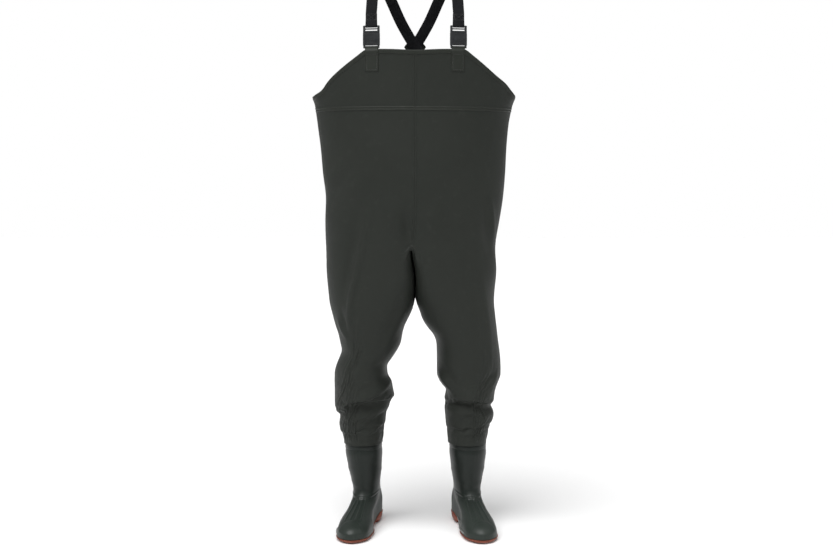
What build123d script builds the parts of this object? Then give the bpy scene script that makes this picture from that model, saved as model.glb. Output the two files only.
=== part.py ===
"""Chest waders: a coated-fabric bib and trousers welded to a pair of moulded boots, with buckled braces.

Row frame, in millimetres: +Z is up, the wearer faces -Y and the wearer's left is +X.
The origin is on the floor, midway between the boots and midway between front and back.
Every sub-part is built for the wearer's left and mirrored about the YZ plane where there is a pair.
"""

import os
from math import acos, cos, degrees, pi, radians, sin

from build123d import *

# ---------------------------------------------------------------- driving dimensions
CLOTH = 2.0  # wall of the coated fabric, as modelled
TAPE = 1.0  # thickness of a seam tape
TAPE_WIDTH = 20.0
HEM = 1.2  # extra thickness of a folded hem
HEM_WIDTH = 10.0

CROTCH_Z = 785.0
BODY_Z = 790.0  # where the legs open into the body
CHEST_SEAM_Z = 1138.0
ARMHOLE_Z = 1167.0
BIB_TOP_Z = 1283.0
BACK_TOP_Z = 1236.0
CLOTH_TOP_Z = 1310.0
CUFF_Z = 232.0  # lower edge of the trouser leg

BOOT_TOP_Z = 262.0
BOOT_X = 140.0  # the ankle's axis
BOOT_Y = 68.5
TOE_OUT = 11.0  # degrees
BOOT_WALL = 3.0
LINING = 1.2

WEBBING_WIDTH = 30.0
WEBBING = 1.8

# Body stations: height, half width, half depth.
BODY_STATIONS = [
    (BODY_Z, 226, 148),
    (840, 231, 150),
    (900, 236, 150),
    (970, 243, 150),
    (1035, 248, 150),
    (1100, 255, 150),
    (1165, 262, 150),
    (CLOTH_TOP_Z, 267, 148),
]

# Leg stations: height, centre x, outer half width, inner half width, half depth, centre y.
LEG_STATIONS = [
    (CUFF_Z, 143, 54, 54, 72, 63),
    (262, 144, 57, 57, 77, 61),
    (300, 145, 64, 64, 85, 56),
    (350, 144, 74, 74, 95, 48),
    (430, 143, 80, 80, 101, 35),
    (510, 130, 84, 84, 108, 24),
    (600, 114, 106, 104, 122, 14),
    (700, 100, 127, 96, 136, 6),
    (760, 60, 164, 56, 145, 1),
]
LEG_GAP = 3.0  # half the gap between the two legs at the crotch


# ---------------------------------------------------------------- cloth: body and legs
def leg_slice(station, inset):
    """Draws one closed oval of a leg: two half ellipses that meet at its front and back."""
    z, centre, outer, inner, depth, middle = station
    with BuildSketch(Plane.XY.offset(z)) as face:
        with BuildLine():
            EllipticalCenterArc((centre, middle), outer - inset, depth - inset, -90, arc_size=180)
            EllipticalCenterArc((centre, middle), inner - inset, depth - inset, 90, arc_size=180)
        make_face()
    return face.sketch


def body_slice(z, width, depth, edge_x):
    """Draws the wearer's left of a body slice, closed by a straight line at x = edge_x."""
    angle = degrees(acos(edge_x / width))
    reach = depth * sin(radians(angle))
    with BuildSketch(Plane.XY.offset(z)) as face:
        with BuildLine():
            EllipticalCenterArc((0, 0), width, depth, -angle, arc_size=2 * angle)
            Line((edge_x, reach), (edge_x, -reach))
        make_face()
    return face.sketch


def half_block(inset=0.0):
    """The solid inside the left half of the garment's outer surface, drawn in by inset."""
    first = BODY_STATIONS[0]
    slices = [leg_slice(station, inset) for station in LEG_STATIONS]
    for z, width, depth in [(CROTCH_Z, first[1], first[2]), *BODY_STATIONS]:
        slices.append(body_slice(z, width - inset, depth - inset, 0))
    with BuildPart() as block:
        loft(slices, ruled=True)
    return block.part


def leg_room(inset):
    """The space inside a left trouser leg, from below its cuff to where it opens into the body."""
    first = BODY_STATIONS[0]
    slices = [leg_slice(station, inset) for station in LEG_STATIONS]
    for z in (CROTCH_Z, BODY_Z):
        slices.append(body_slice(z, first[1] - inset, first[2] - inset, LEG_GAP + inset))
    with BuildPart() as block:
        loft(slices, ruled=True)
    return block.part


def body_room(inset):
    """The space inside the body, from the crotch to above the bib."""
    with BuildPart() as block:
        for z, width, depth in BODY_STATIONS:
            with BuildSketch(Plane.XY.offset(z)):
                Ellipse(width - inset, depth - inset)
        loft(ruled=True)
    return block.part


# The side seam runs straight down the body, then leans back with the leg.
SEAM_LINE = [(0, CLOTH_TOP_Z + 10), (0, BODY_Z), (LEG_STATIONS[0][5], CUFF_Z), (LEG_STATIONS[0][5], 150)]
FAR = 500.0


def side_profile(points, x_from=0.0, x_to=FAR):
    """A prism across the garment whose section, seen from the side, joins the (y, z) points."""
    with BuildPart() as prism:
        with BuildSketch(Plane.YZ.offset(x_from)):
            with BuildLine():
                Polyline(*points, close=True)
            make_face()
        extrude(amount=x_to - x_from)
    return prism.part


def front_profile(points, y_from, y_to):
    """A prism through the garment whose section, seen from the front, joins the (x, z) points."""
    with BuildPart() as prism:
        with BuildSketch(Plane.XZ.offset(-y_from)):
            with BuildLine():
                Polyline(*points, close=True)
            make_face()
        extrude(amount=y_from - y_to)
    return prism.part


def span(low, high):
    """A box that fills the space between two opposite corners."""
    with BuildPart() as room:
        with Locations(tuple((a + b) / 2 for a, b in zip(low, high))):
            Box(*[b - a for a, b in zip(low, high)])
    return room.part


front_zone = side_profile(SEAM_LINE + [(-FAR, 150), (-FAR, CLOTH_TOP_Z + 10)])
back_zone = side_profile(SEAM_LINE + [(FAR, 150), (FAR, CLOTH_TOP_Z + 10)])


def arm_curve(drop=0.0):
    """The armhole edge of the bib, from the bib's top corner to the side seam, lowered by drop."""
    with BuildLine() as curve:
        slope = Line((131 - drop * 0.35, BIB_TOP_Z - drop), (222, 1211 - drop * 1.2))
        TangentArc(slope @ 1, (272, ARMHOLE_Z - drop), tangent=slope % 1)
    return curve.line


def bib_outline(drop=0.0):
    """A prism that keeps the cloth under the bib's top edge and armholes, less a rim of width drop."""
    edge = arm_curve(drop)
    with BuildPart() as prism:
        with BuildSketch(Plane.XZ):
            with BuildLine():
                add(edge)
                end = edge @ 1
                start = edge @ 0
                Polyline((end.X, end.Y), (FAR, end.Y), (FAR, 0), (0, 0), (0, start.Y), (start.X, start.Y))
            make_face()
        extrude(amount=FAR)
    return prism.part


def back_outline(drop=0.0):
    """A prism that keeps the cloth under the back's top edge, less a rim of width drop."""
    corner_z = ARMHOLE_Z - drop
    top = BACK_TOP_Z - drop
    points = [(0, 0), (FAR, 0), (FAR, corner_z), (262, corner_z), (105, top), (0, top)]
    return front_profile(points, 0, FAR)


# ---------------------------------------------------------------- writing the pieces
os.makedirs("parts", exist_ok=True)


def finish(name, piece):
    """Labels a finished piece and writes it to a file of its own."""
    piece.part.label = name
    export_step(piece.part, f"parts/{name}.step")
    print(name, len(piece.solids()), round(piece.part.volume), piece.part.is_valid)


def finish_pair(name, piece, place=Location()):
    """Puts the wearer's left piece in its place, mirrors it for the right, and writes both."""
    with BuildPart() as left:
        add(place * piece.part)
    with BuildPart() as right:
        mirror(left.part, about=Plane.YZ)
    finish(f"left_{name}", left)
    finish(f"right_{name}", right)


# ---------------------------------------------------------------- panels and hems
block = half_block()
raised = half_block(-HEM)
bib_area = bib_outline()
back_area = back_outline()
below_seam = span((-FAR, -FAR, 0), (FAR, FAR, CHEST_SEAM_Z))
above_seam = span((-FAR, -FAR, CHEST_SEAM_Z), (FAR, FAR, CLOTH_TOP_Z + 10))

with BuildPart() as skin:
    add(block)
    add(body_room(CLOTH), mode=Mode.SUBTRACT)
    add(leg_room(CLOTH), mode=Mode.SUBTRACT)

with BuildPart() as front_panel:
    add(skin.part)
    add(front_zone, mode=Mode.INTERSECT)
    add(below_seam, mode=Mode.INTERSECT)
finish_pair("front_panel", front_panel)

with BuildPart() as bib_panel:
    add(skin.part)
    add(front_zone, mode=Mode.INTERSECT)
    add(above_seam, mode=Mode.INTERSECT)
    add(bib_area, mode=Mode.INTERSECT)
finish_pair("bib_panel", bib_panel)

with BuildPart() as back_panel:
    add(skin.part)
    add(back_zone, mode=Mode.INTERSECT)
    add(back_area, mode=Mode.INTERSECT)
finish_pair("back_panel", back_panel)

# A hem is the edge of the cloth folded over and welded, so it stands proud of the panel.
with BuildPart() as rim:
    add(raised)
    add(block, mode=Mode.SUBTRACT)
above_armhole = span((0, -FAR, ARMHOLE_Z - 2 * HEM_WIDTH), (FAR, FAR, CLOTH_TOP_Z))

with BuildPart() as bib_hem:
    add(rim.part)
    add(front_zone, mode=Mode.INTERSECT)
    add(bib_area, mode=Mode.INTERSECT)
    add(above_armhole, mode=Mode.INTERSECT)
    add(bib_outline(HEM_WIDTH), mode=Mode.SUBTRACT)
finish_pair("bib_hem", bib_hem)

with BuildPart() as back_hem:
    add(rim.part)
    add(back_zone, mode=Mode.INTERSECT)
    add(back_area, mode=Mode.INTERSECT)
    add(above_armhole, mode=Mode.INTERSECT)
    add(back_outline(HEM_WIDTH), mode=Mode.SUBTRACT)
finish_pair("back_hem", back_hem)

# The welt is the bib's lower edge lapped over the front panels.
WELT_HEIGHT = 11.0
WELT_GAP = 16.0  # kept clear of the side seam
with BuildPart() as chest_seam_welt:
    add(rim.part)
    add(span((0, -FAR, CHEST_SEAM_Z - WELT_HEIGHT), (FAR, -WELT_GAP, CHEST_SEAM_Z)), mode=Mode.INTERSECT)
finish_pair("chest_seam_welt", chest_seam_welt)

# ---------------------------------------------------------------- tapes welded inside the seams
half_tape = TAPE_WIDTH / 2
tape_start_z = BODY_Z + 4
tape_foot_z = BOOT_TOP_Z + 12
seam_foot_y = LEG_STATIONS[0][5]
inseam_x = LEG_STATIONS[0][1]

with BuildPart() as body_layer:
    add(body_room(CLOTH))
    add(body_room(CLOTH + TAPE), mode=Mode.SUBTRACT)
with BuildPart() as leg_layer:
    add(leg_room(CLOTH))
    add(leg_room(CLOTH + TAPE), mode=Mode.SUBTRACT)


def seam_band(z_from, z_to, x_from, x_to):
    """A prism half a tape's width each side of the side seam line, between two heights."""
    heights = [z_from, z_to] if z_to <= BODY_Z else [z_from, BODY_Z, z_to]
    seam = [(seam_foot_y * max(0.0, (BODY_Z - z) / (BODY_Z - CUFF_Z)), z) for z in heights]
    front_edge = [(y - half_tape, z) for y, z in seam]
    back_edge = [(y + half_tape, z) for y, z in reversed(seam)]
    return side_profile(front_edge + back_edge, x_from, x_to)


with BuildPart() as front_centre_seam_tape:
    add(body_layer.part)
    add(span((-half_tape, -FAR, tape_start_z), (half_tape, 0, BIB_TOP_Z - HEM_WIDTH)), mode=Mode.INTERSECT)
finish("front_centre_seam_tape", front_centre_seam_tape)

with BuildPart() as back_centre_seam_tape:
    add(body_layer.part)
    add(span((-half_tape, 0, tape_start_z), (half_tape, FAR, BACK_TOP_Z - 2 * HEM_WIDTH)), mode=Mode.INTERSECT)
finish("back_centre_seam_tape", back_centre_seam_tape)

with BuildPart() as side_seam_tape:
    add(body_layer.part)
    add(leg_layer.part)
    add(seam_band(tape_foot_z, ARMHOLE_Z - HEM_WIDTH, inseam_x, FAR), mode=Mode.INTERSECT)
finish_pair("side_seam_tape", side_seam_tape)

with BuildPart() as inseam_tape:
    add(leg_layer.part)
    add(seam_band(tape_foot_z, CROTCH_Z - 40, 0, inseam_x), mode=Mode.INTERSECT)
finish_pair("inseam_tape", inseam_tape)

# ---------------------------------------------------------------- buckles
# Each buckle is built upright about the bar that its tab loops round, then turned to the bib.
BUCKLE_X = 112.0
BIB_FACE_Y = -134.6  # the bib's outer surface at the buckle
BUCKLE_YAW = 14.5  # the bib's surface turns away from the front by this
BAR_Z = 1288.0
BAR_RADIUS = 2.0
BAR_PLAY = 0.3
TAB_CLOTH = 2.0
TAB_WIDTH = 33.0
TAB_FOOT_Z = 1226.0
SOCKET_WIDTH = 44.0
SOCKET_DEPTH = 10.0
SOCKET_FROM, SOCKET_TO = 5.2, 36.0  # heights above the bar
ROOM_WIDTH, ROOM_DEPTH, ROOM_FLOOR = 37.0, 5.6, 9.0
WINDOW_FROM, WINDOW_TO = 12.0, 26.0
COLLAR_FROM, COLLAR_TO = 36.3, 42.0
TOP_BAR, MIDDLE_BAR = 54.0, 47.0
LUG_X = 19.0
PRONG_X, PRONG_Z = 12.0, 38.8  # the prong's root
PRONG_DEPTH = 4.8
PRONG_PLAY = 0.15
KNUCKLE = 1.9
KNUCKLE_PLAY = 0.08
WEBBING_END_Z = 66.0

UPWARD = (Align.CENTER, Align.CENTER, Align.MIN)
DOWNWARD = (Align.CENTER, Align.CENTER, Align.MAX)

bar_back = BAR_RADIUS + BAR_PLAY - HEM  # how far the bar's axis is behind the bib's outer surface
yaw = radians(BUCKLE_YAW)
bar_x = BUCKLE_X - bar_back * sin(yaw)
bar_y = BIB_FACE_Y + bar_back * cos(yaw)
buckle_place = Location((bar_x, bar_y, BAR_Z), (0, 0, BUCKLE_YAW))

# The socket: a flat box, open at the top, with a window in each side and a bar for the tab.
with BuildPart() as buckle_socket:
    with Locations((0, 0, (SOCKET_FROM + SOCKET_TO) / 2)):
        Box(SOCKET_WIDTH, SOCKET_DEPTH, SOCKET_TO - SOCKET_FROM)
    fillet(buckle_socket.edges().filter_by(Axis.Z), radius=3)
    with Locations((0, 0, SOCKET_TO)):
        Box(ROOM_WIDTH, ROOM_DEPTH, 2 * (SOCKET_TO - ROOM_FLOOR), mode=Mode.SUBTRACT)
    with Locations((0, 0, (WINDOW_FROM + WINDOW_TO) / 2)):
        Box(2 * SOCKET_WIDTH, ROOM_DEPTH, WINDOW_TO - WINDOW_FROM, mode=Mode.SUBTRACT)
    with Locations((LUG_X, 0, SOCKET_FROM / 2 - 0.5), (-LUG_X, 0, SOCKET_FROM / 2 - 0.5)):
        Box(4, 5, SOCKET_FROM + 3)
    Cylinder(BAR_RADIUS, 2 * LUG_X + 2, rotation=(0, 90, 0))

# The plug: a collar over the socket's mouth, a guide between the prongs and a ladder for the webbing.
with BuildPart() as buckle_plug:
    with Locations((0, 0, (COLLAR_FROM + COLLAR_TO) / 2)):
        Box(SOCKET_WIDTH - 0.6, SOCKET_DEPTH - 0.4, COLLAR_TO - COLLAR_FROM)
    fillet(buckle_plug.edges().filter_by(Axis.Z), radius=3)
    with Locations((0, 0, (ROOM_FLOOR + 2 + COLLAR_TO) / 2)):
        Box(5, PRONG_DEPTH, COLLAR_TO - ROOM_FLOOR - 2)
    with Locations((LUG_X, 0, (COLLAR_TO + TOP_BAR) / 2), (-LUG_X, 0, (COLLAR_TO + TOP_BAR) / 2)):
        Box(5, 5, TOP_BAR - COLLAR_TO + 2)
    with Locations((0, 0, TOP_BAR)):
        Cylinder(BAR_RADIUS, 2 * LUG_X + 3, rotation=(0, 90, 0))
    with Locations((0, 0, MIDDLE_BAR)):
        Box(2 * LUG_X, 4, 3)
    with Locations((PRONG_X, 0, PRONG_Z), (-PRONG_X, 0, PRONG_Z)):
        Cylinder(KNUCKLE + KNUCKLE_PLAY, PRONG_DEPTH + 2 * PRONG_PLAY, rotation=(90, 0, 0), mode=Mode.SUBTRACT)
    with Locations((PRONG_X - 0.2, 0, COLLAR_FROM), (0.2 - PRONG_X, 0, COLLAR_FROM)):
        Box(5, PRONG_DEPTH + 2 * PRONG_PLAY, 4, mode=Mode.SUBTRACT)

# A prong: a springy arm with a barb that stands in the socket's window as the release button.
arm_inner, arm_outer = PRONG_X - 1.6, PRONG_X + 1.6
with BuildPart() as outer_prong:
    with BuildSketch(Plane.XZ.offset(-PRONG_DEPTH / 2)):
        with BuildLine():
            root = Line((arm_inner, PRONG_Z), (arm_outer, PRONG_Z))
            barb = Polyline(root @ 1, (arm_outer, 27.4), (15, 25.6), (20.8, 25.6), (22.2, 23))
            button = RadiusArc(barb @ 1, (20.4, 13.6), 24)
            Polyline(button @ 1, (15, 12.6), (arm_inner, 13.6), root @ 0)
        make_face()
    extrude(amount=PRONG_DEPTH)
    with Locations((PRONG_X, 0, PRONG_Z)):
        Cylinder(KNUCKLE, PRONG_DEPTH, rotation=(90, 0, 0))
with BuildPart() as inner_prong:
    mirror(outer_prong.part, about=Plane.YZ)

# The end of the webbing turns under the ladder's top bar.
fold_inner = BAR_RADIUS + 0.2
fold_outer = fold_inner + WEBBING
with BuildPart() as webbing_end:
    with Locations((0, 0, TOP_BAR)):
        Cylinder(fold_outer, WEBBING_WIDTH, rotation=(0, 90, 0))
    with Locations((0, 0, (TOP_BAR + WEBBING_END_Z) / 2)):
        Box(WEBBING_WIDTH, 2 * fold_outer, WEBBING_END_Z - TOP_BAR)
    with Locations((0, 0, TOP_BAR)):
        Cylinder(fold_inner, WEBBING_WIDTH, rotation=(0, 90, 0), mode=Mode.SUBTRACT)
        Box(WEBBING_WIDTH, 2 * fold_inner, 4 * WEBBING_END_Z, mode=Mode.SUBTRACT, align=UPWARD)

finish_pair("buckle_socket", buckle_socket, buckle_place)
finish_pair("buckle_plug", buckle_plug, buckle_place)
finish_pair("outer_prong", outer_prong, buckle_place)
finish_pair("inner_prong", inner_prong, buckle_place)
finish_pair("webbing_end", webbing_end, buckle_place)

# The tab: a strip of the same cloth, welded over the bib and its hem and looped round the socket's bar.
loop_inner = BAR_RADIUS + BAR_PLAY
half_tab = TAB_WIDTH / 2
hem_foot_z = BIB_TOP_Z - HEM_WIDTH
tab_over = half_block(-HEM - TAB_CLOTH)
with BuildPart() as tab_foot:
    add(half_block(-TAB_CLOTH))
    add(block, mode=Mode.SUBTRACT)
    add(span((0, -FAR, TAB_FOOT_Z), (FAR, 0, hem_foot_z)), mode=Mode.INTERSECT)
with BuildPart() as tab_top:
    add(tab_over)
    add(raised, mode=Mode.SUBTRACT)
    add(span((0, -FAR, hem_foot_z), (FAR, 0, BIB_TOP_Z)), mode=Mode.INTERSECT)
with BuildPart() as tab_step:
    add(tab_over)
    add(block, mode=Mode.SUBTRACT)
    add(span((0, -FAR, hem_foot_z - 4), (FAR, 0, hem_foot_z)), mode=Mode.INTERSECT)
with BuildPart() as tab_column:
    Box(TAB_WIDTH, 60, 4 * BIB_TOP_Z)
with BuildPart() as tab_loop:
    Cylinder(loop_inner + TAB_CLOTH, TAB_WIDTH, rotation=(0, 90, 0))
    with Locations((0, -loop_inner - TAB_CLOTH / 2, 0)):
        Box(TAB_WIDTH, TAB_CLOTH, BAR_Z - BIB_TOP_Z + 0.5, align=DOWNWARD)
    Cylinder(loop_inner, TAB_WIDTH, rotation=(0, 90, 0), mode=Mode.SUBTRACT)
with BuildPart() as strap_tab:
    add(tab_foot.part)
    add(tab_top.part)
    add(tab_step.part)
    add(buckle_place * tab_column.part, mode=Mode.INTERSECT)
    add(buckle_place * tab_loop.part)
finish_pair("strap_tab", strap_tab)

# ---------------------------------------------------------------- braces
# Stations of the webbing, from above the plug over the shoulder to the other side of the back:
# a point on its centre line and the way its outer face looks there.
BRACE_ROUTE = [
    ((112.2, -135.4, 1354.8), (0.25, -0.97, 0)),
    ((111, -130, 1388), (0.22, -0.96, 0.15)),
    ((108, -110, 1434), (0.15, -0.8, 0.55)),
    ((103, -70, 1469), (0.1, -0.45, 0.9)),
    ((96, -15, 1483), (0.05, 0, 1)),
    ((83, 42, 1469), (0.1, 0.5, 0.85)),
    ((63, 92, 1428), (0.15, 0.8, 0.55)),
    ((36, 129, 1372), (0.1, 0.93, 0.3)),
    ((0, 151.2, 1312), (0, 1, 0.2)),
    ((-30, 153.5, 1264), (-0.05, 1, 0.05)),
    ((-52, 150, 1223), (-0.13, 0.99, 0)),
    ((-68, 148.5, 1186), (-0.15, 0.99, 0)),
]
CROSSING = range(7, 10)  # the stations near the crossing, where one brace passes over the other
OVERLAP_LIFT = WEBBING / 2 + 0.6


def brace_ribbon(lift):
    """The middle face of one brace: a ribbon between two edge curves either side of its route."""
    route = [Vector(x, y + (lift if number in CROSSING else 0), z)
             for number, ((x, y, z), _) in enumerate(BRACE_ROUTE)]
    first = []
    second = []
    for number, (point, (_, facing)) in enumerate(zip(route, BRACE_ROUTE)):
        before = route[max(number - 1, 0)]
        after = route[min(number + 1, len(route) - 1)]
        across = (after - before).cross(Vector(*facing)).normalized() * (WEBBING_WIDTH / 2)
        first.append(point + across)
        second.append(point - across)
    return Face.make_surface_from_curves(Spline(*first), Spline(*second))


with BuildPart() as left_brace:
    thicken(brace_ribbon(OVERLAP_LIFT), amount=WEBBING / 2, both=True)
finish("left_brace", left_brace)

with BuildPart() as under_brace:
    thicken(brace_ribbon(-OVERLAP_LIFT), amount=WEBBING / 2, both=True)
with BuildPart() as right_brace:
    mirror(under_brace.part, about=Plane.YZ)
finish("right_brace", right_brace)

# A square patch, set on its corner, is stitched over the crossing.
PATCH = 46.0
PATCH_THICKNESS = 1.6
PATCH_LEAN = 12.5
patch_centre, _ = BRACE_ROUTE[8]
with BuildPart() as patch:
    Box(PATCH, PATCH_THICKNESS, PATCH, rotation=(0, 45, 0))
    fillet(patch.edges().filter_by(Axis.Y), radius=5)
patch_away = OVERLAP_LIFT + WEBBING / 2 + PATCH_THICKNESS / 2 + 0.6
with BuildPart() as crossing_patch:
    add(Location(patch_centre, (PATCH_LEAN, 0, 0)) * Location((0, patch_away, 0)) * patch.part)
finish("crossing_patch", crossing_patch)

# Patches of cloth on the back panels carry the ends of the braces.
with BuildPart() as brace_anchor_patch:
    add(rim.part)
    add(span((38, 0, 1150), (92, FAR, BACK_TOP_Z - HEM_WIDTH - 6)), mode=Mode.INTERSECT)
finish_pair("brace_anchor_patch", brace_anchor_patch)

# ---------------------------------------------------------------- boots
# Slices of the boot, level with the floor: height, back and front reach from the ankle's axis
# (the toe is towards -Y), and half widths at the WIDTH_AT shares of the way from back to front.
WIDTH_AT = [0.1, 0.4, 0.7, 0.92]
BOOT_SLICES = [
    (0, 66, -229.5, 29, 33, 47, 32),
    (12, 68, -232.5, 31, 35, 48.5, 33.5),
    (30, 69, -233, 32, 36, 49, 34),
    (44, 69, -226, 33, 38, 47.5, 32),
    (54, 68, -204, 33, 38.5, 45, 28.5),
    (64, 67, -160, 33, 38, 40.5, 25.5),
    (76, 64, -113, 31.5, 37, 37, 23),
    (90, 60, -80, 28, 35.5, 34, 21.5),
    (110, 57, -64, 24.5, 35.5, 33.5, 20.5),
    (138, 55, -60, 23, 36.5, 34.5, 20.5),
    (168, 53, -60, 24, 39.2, 36.7, 21.7),
    (212, 56, -70, 28, 45.6, 42.6, 25.2),
    (BOOT_TOP_Z, 59, -76, 30, 49, 45.8, 27.1),
]
TOE_SHIFT = 7.0  # the tip of the toe leans to the big toe's side
# Where round its run, from 0 at the heel to 1, every slice's outline passes its points.
PASSES_AT = [acos(1 - 2 * share) / (2 * pi) for share in WIDTH_AT]
LOOP_AT = [0.0, *PASSES_AT, 0.5, *[1 - at for at in reversed(PASSES_AT)], 1.0]
FOOT_FROM_Z, FOOT_TO_Z = 30.0, 130.0  # the slices that cross the top of the foot


def boot_slice(z, back, front, widths):
    """A closed smooth outline of the boot at one height."""
    length = back - front
    lean = TOE_SHIFT * min(1.0, max(0.0, (-front - 80) / 150))
    sides = [(width, back - share * length, lean * share**2) for share, width in zip(WIDTH_AT, widths)]
    outer = [(width - shift, y) for width, y, shift in sides]
    inner = [(-width - shift, y) for width, y, shift in reversed(sides)]
    with BuildSketch(Plane.XY.offset(z)) as face:
        with BuildLine():
            loop = [Vector(x, y) for x, y in [(0, back), *outer, (-lean, front), *inner]]
            add(Edge.make_spline(loop, periodic=True, parameters=LOOP_AT))
        make_face()
    return face.sketch


def boot_block(inset=0.0, rise=0.0):
    """The solid inside the boot's outer surface drawn in by inset, with its top raised by rise."""
    slices = []
    for z, back, front, *widths in BOOT_SLICES:
        if z == BOOT_TOP_Z:
            z += rise
        elif FOOT_FROM_Z < z < FOOT_TO_Z:
            z -= inset
        slices.append(boot_slice(z, back - inset, front + inset, [width - inset for width in widths]))
    with BuildPart() as solid:
        loft(slices, ruled=True)
    return solid.part


HEEL_HEIGHT = 27.0
SOLE_TOP = [(90, HEEL_HEIGHT), (-6, HEEL_HEIGHT), (-52, 11), (-185, 10), (-250, 17)]
SOLE_BOTTOM = [(-250, 8), (-190, 0), (-62, 0), (-56, 3), (-16, 10), (-13, 0), (90, 0)]


def below_sole_top(rise):
    """Everything below the outsole's top face raised by rise."""
    top = [(y, z + rise) for y, z in SOLE_TOP]
    return side_profile(top + [(-250, -50), (90, -50)], -FAR, FAR)


boot_outside = boot_block()
boot_inside = boot_block(BOOT_WALL, 5)
with BuildPart() as boot_room:
    add(boot_inside)
    add(below_sole_top(BOOT_WALL), mode=Mode.SUBTRACT)

with BuildPart() as boot_upper:
    add(boot_outside)
    add(below_sole_top(0), mode=Mode.SUBTRACT)
    add(boot_room.part, mode=Mode.SUBTRACT)

LINING_FROM_Z = 38.0
with BuildPart() as boot_lining:
    add(boot_inside)
    add(boot_block(BOOT_WALL + LINING, 6), mode=Mode.SUBTRACT)
    add(span((-FAR, -FAR, LINING_FROM_Z), (FAR, FAR, BOOT_TOP_Z - 4)), mode=Mode.INTERSECT)

INSOLE = 4.0
with BuildPart() as insole:
    add(boot_block(BOOT_WALL + 0.6))
    add(below_sole_top(BOOT_WALL + 0.3 + INSOLE), mode=Mode.INTERSECT)
    add(below_sole_top(BOOT_WALL + 0.3), mode=Mode.SUBTRACT)

# The outsole: a plate a welt wider than the upper, with a heel block, an arch and cut treads.
WELT = 2.0
TREAD_DEPTH = 3.0
GROOVE = 5.0
_, sole_back, sole_front, *sole_widths = BOOT_SLICES[0]
with BuildPart() as outsole:
    add(boot_slice(0, sole_back + WELT, sole_front - WELT, [width + WELT for width in sole_widths]))
    extrude(amount=HEEL_HEIGHT + 5)
    add(side_profile(SOLE_TOP + SOLE_BOTTOM, -FAR, FAR), mode=Mode.INTERSECT)
    with Locations(*[(0, y, 0) for y in range(-184, -70, 14)]):
        Box(72, GROOVE, 2 * TREAD_DEPTH, mode=Mode.SUBTRACT)
    with Locations(*[(0, y, 0) for y in range(4, 50, 14)]):
        Box(48, GROOVE, 2 * TREAD_DEPTH, mode=Mode.SUBTRACT)

boot_place = Location((BOOT_X, BOOT_Y, 0), (0, 0, TOE_OUT))
finish_pair("boot_upper", boot_upper, boot_place)
finish_pair("boot_lining", boot_lining, boot_place)
finish_pair("insole", insole, boot_place)
finish_pair("outsole", outsole, boot_place)

# A welded band fills the gap between the trouser leg and the boot's shaft.
BAND_GAP = 0.2
with BuildPart() as boot_joint_band:
    add(leg_room(CLOTH + BAND_GAP))
    add(span((0, -FAR, CUFF_Z + 3), (FAR, FAR, CUFF_Z + 23)), mode=Mode.INTERSECT)
    add(boot_place * boot_outside, mode=Mode.SUBTRACT)
finish_pair("boot_joint_band", boot_joint_band)
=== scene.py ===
"""Chest waders standing as worn: a coated-cloth bib and trousers on moulded boots, with buckled braces."""

import math

import bmesh
import bpy
import numpy as np
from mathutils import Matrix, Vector
from mathutils.bvhtree import BVHTree


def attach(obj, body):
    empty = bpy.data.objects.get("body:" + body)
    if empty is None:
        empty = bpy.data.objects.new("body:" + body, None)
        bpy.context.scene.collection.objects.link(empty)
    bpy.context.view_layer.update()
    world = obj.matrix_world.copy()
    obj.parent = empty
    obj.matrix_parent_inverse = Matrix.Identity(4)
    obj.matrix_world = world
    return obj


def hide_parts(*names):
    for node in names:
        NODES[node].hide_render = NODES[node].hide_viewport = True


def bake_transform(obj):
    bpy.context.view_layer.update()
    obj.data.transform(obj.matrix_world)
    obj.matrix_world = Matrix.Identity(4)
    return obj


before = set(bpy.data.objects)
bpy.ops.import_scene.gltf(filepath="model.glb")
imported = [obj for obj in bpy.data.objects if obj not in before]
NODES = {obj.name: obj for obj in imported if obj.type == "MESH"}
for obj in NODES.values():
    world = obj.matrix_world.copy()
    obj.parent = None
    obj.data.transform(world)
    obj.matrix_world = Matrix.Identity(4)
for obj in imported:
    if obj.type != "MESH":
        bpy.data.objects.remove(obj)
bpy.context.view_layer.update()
SIDES = ((1, "left"), (-1, "right"))  # the wearer's left is at +x


# ---------------------------------------------------------------- small maths
def hermite(values, slopes, i, h, t):
    """A cubic through rows i and i + 1 of a table, with their slopes; t runs 0 to 1 over a step h."""
    return (values[i] * (1 + 2 * t) * (1 - t) ** 2 + slopes[i] * h * t * (1 - t) ** 2
            + values[i + 1] * t * t * (3 - 2 * t) + slopes[i + 1] * h * t * t * (t - 1))


def spline(stations):
    """A monotone cubic through rows of (x, value, value ...): returns f(x) -> array of values."""
    table = np.array(sorted(stations), float)
    xs, ys = table[:, 0], table[:, 1:]
    step = np.diff(xs)[:, None]
    slope = np.diff(ys, axis=0) / step
    tangent = np.zeros_like(ys)
    tangent[0], tangent[-1] = slope[0], slope[-1]
    w0, w1 = 2 * step[1:] + step[:-1], step[1:] + 2 * step[:-1]
    with np.errstate(divide="ignore", invalid="ignore"):
        mean = (w0 + w1) / (w0 / slope[:-1] + w1 / slope[1:])
    tangent[1:-1] = np.where(slope[:-1] * slope[1:] > 0, mean, 0)

    def at(x):
        x = np.clip(np.asarray(x, float), xs[0], xs[-1])
        i = np.clip(np.searchsorted(xs, x, side="right") - 1, 0, len(xs) - 2)
        h = (xs[i + 1] - xs[i])[..., None]
        t = (x - xs[i])[..., None] / h
        return hermite(ys, tangent, i, h, t)

    return at


def bump(value, centre, width):
    """A soft bell: 1 at centre, falling away over width."""
    return np.exp(-(((value - centre) / width) ** 2))


def ramp(value, low, high):
    """0 below low, 1 above high, smooth between."""
    t = np.clip((value - low) / (high - low), 0, 1)
    return t * t * (3 - 2 * t)


def unit(v):
    return v / np.maximum(np.linalg.norm(v, axis=-1, keepdims=True), 1e-12)


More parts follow.
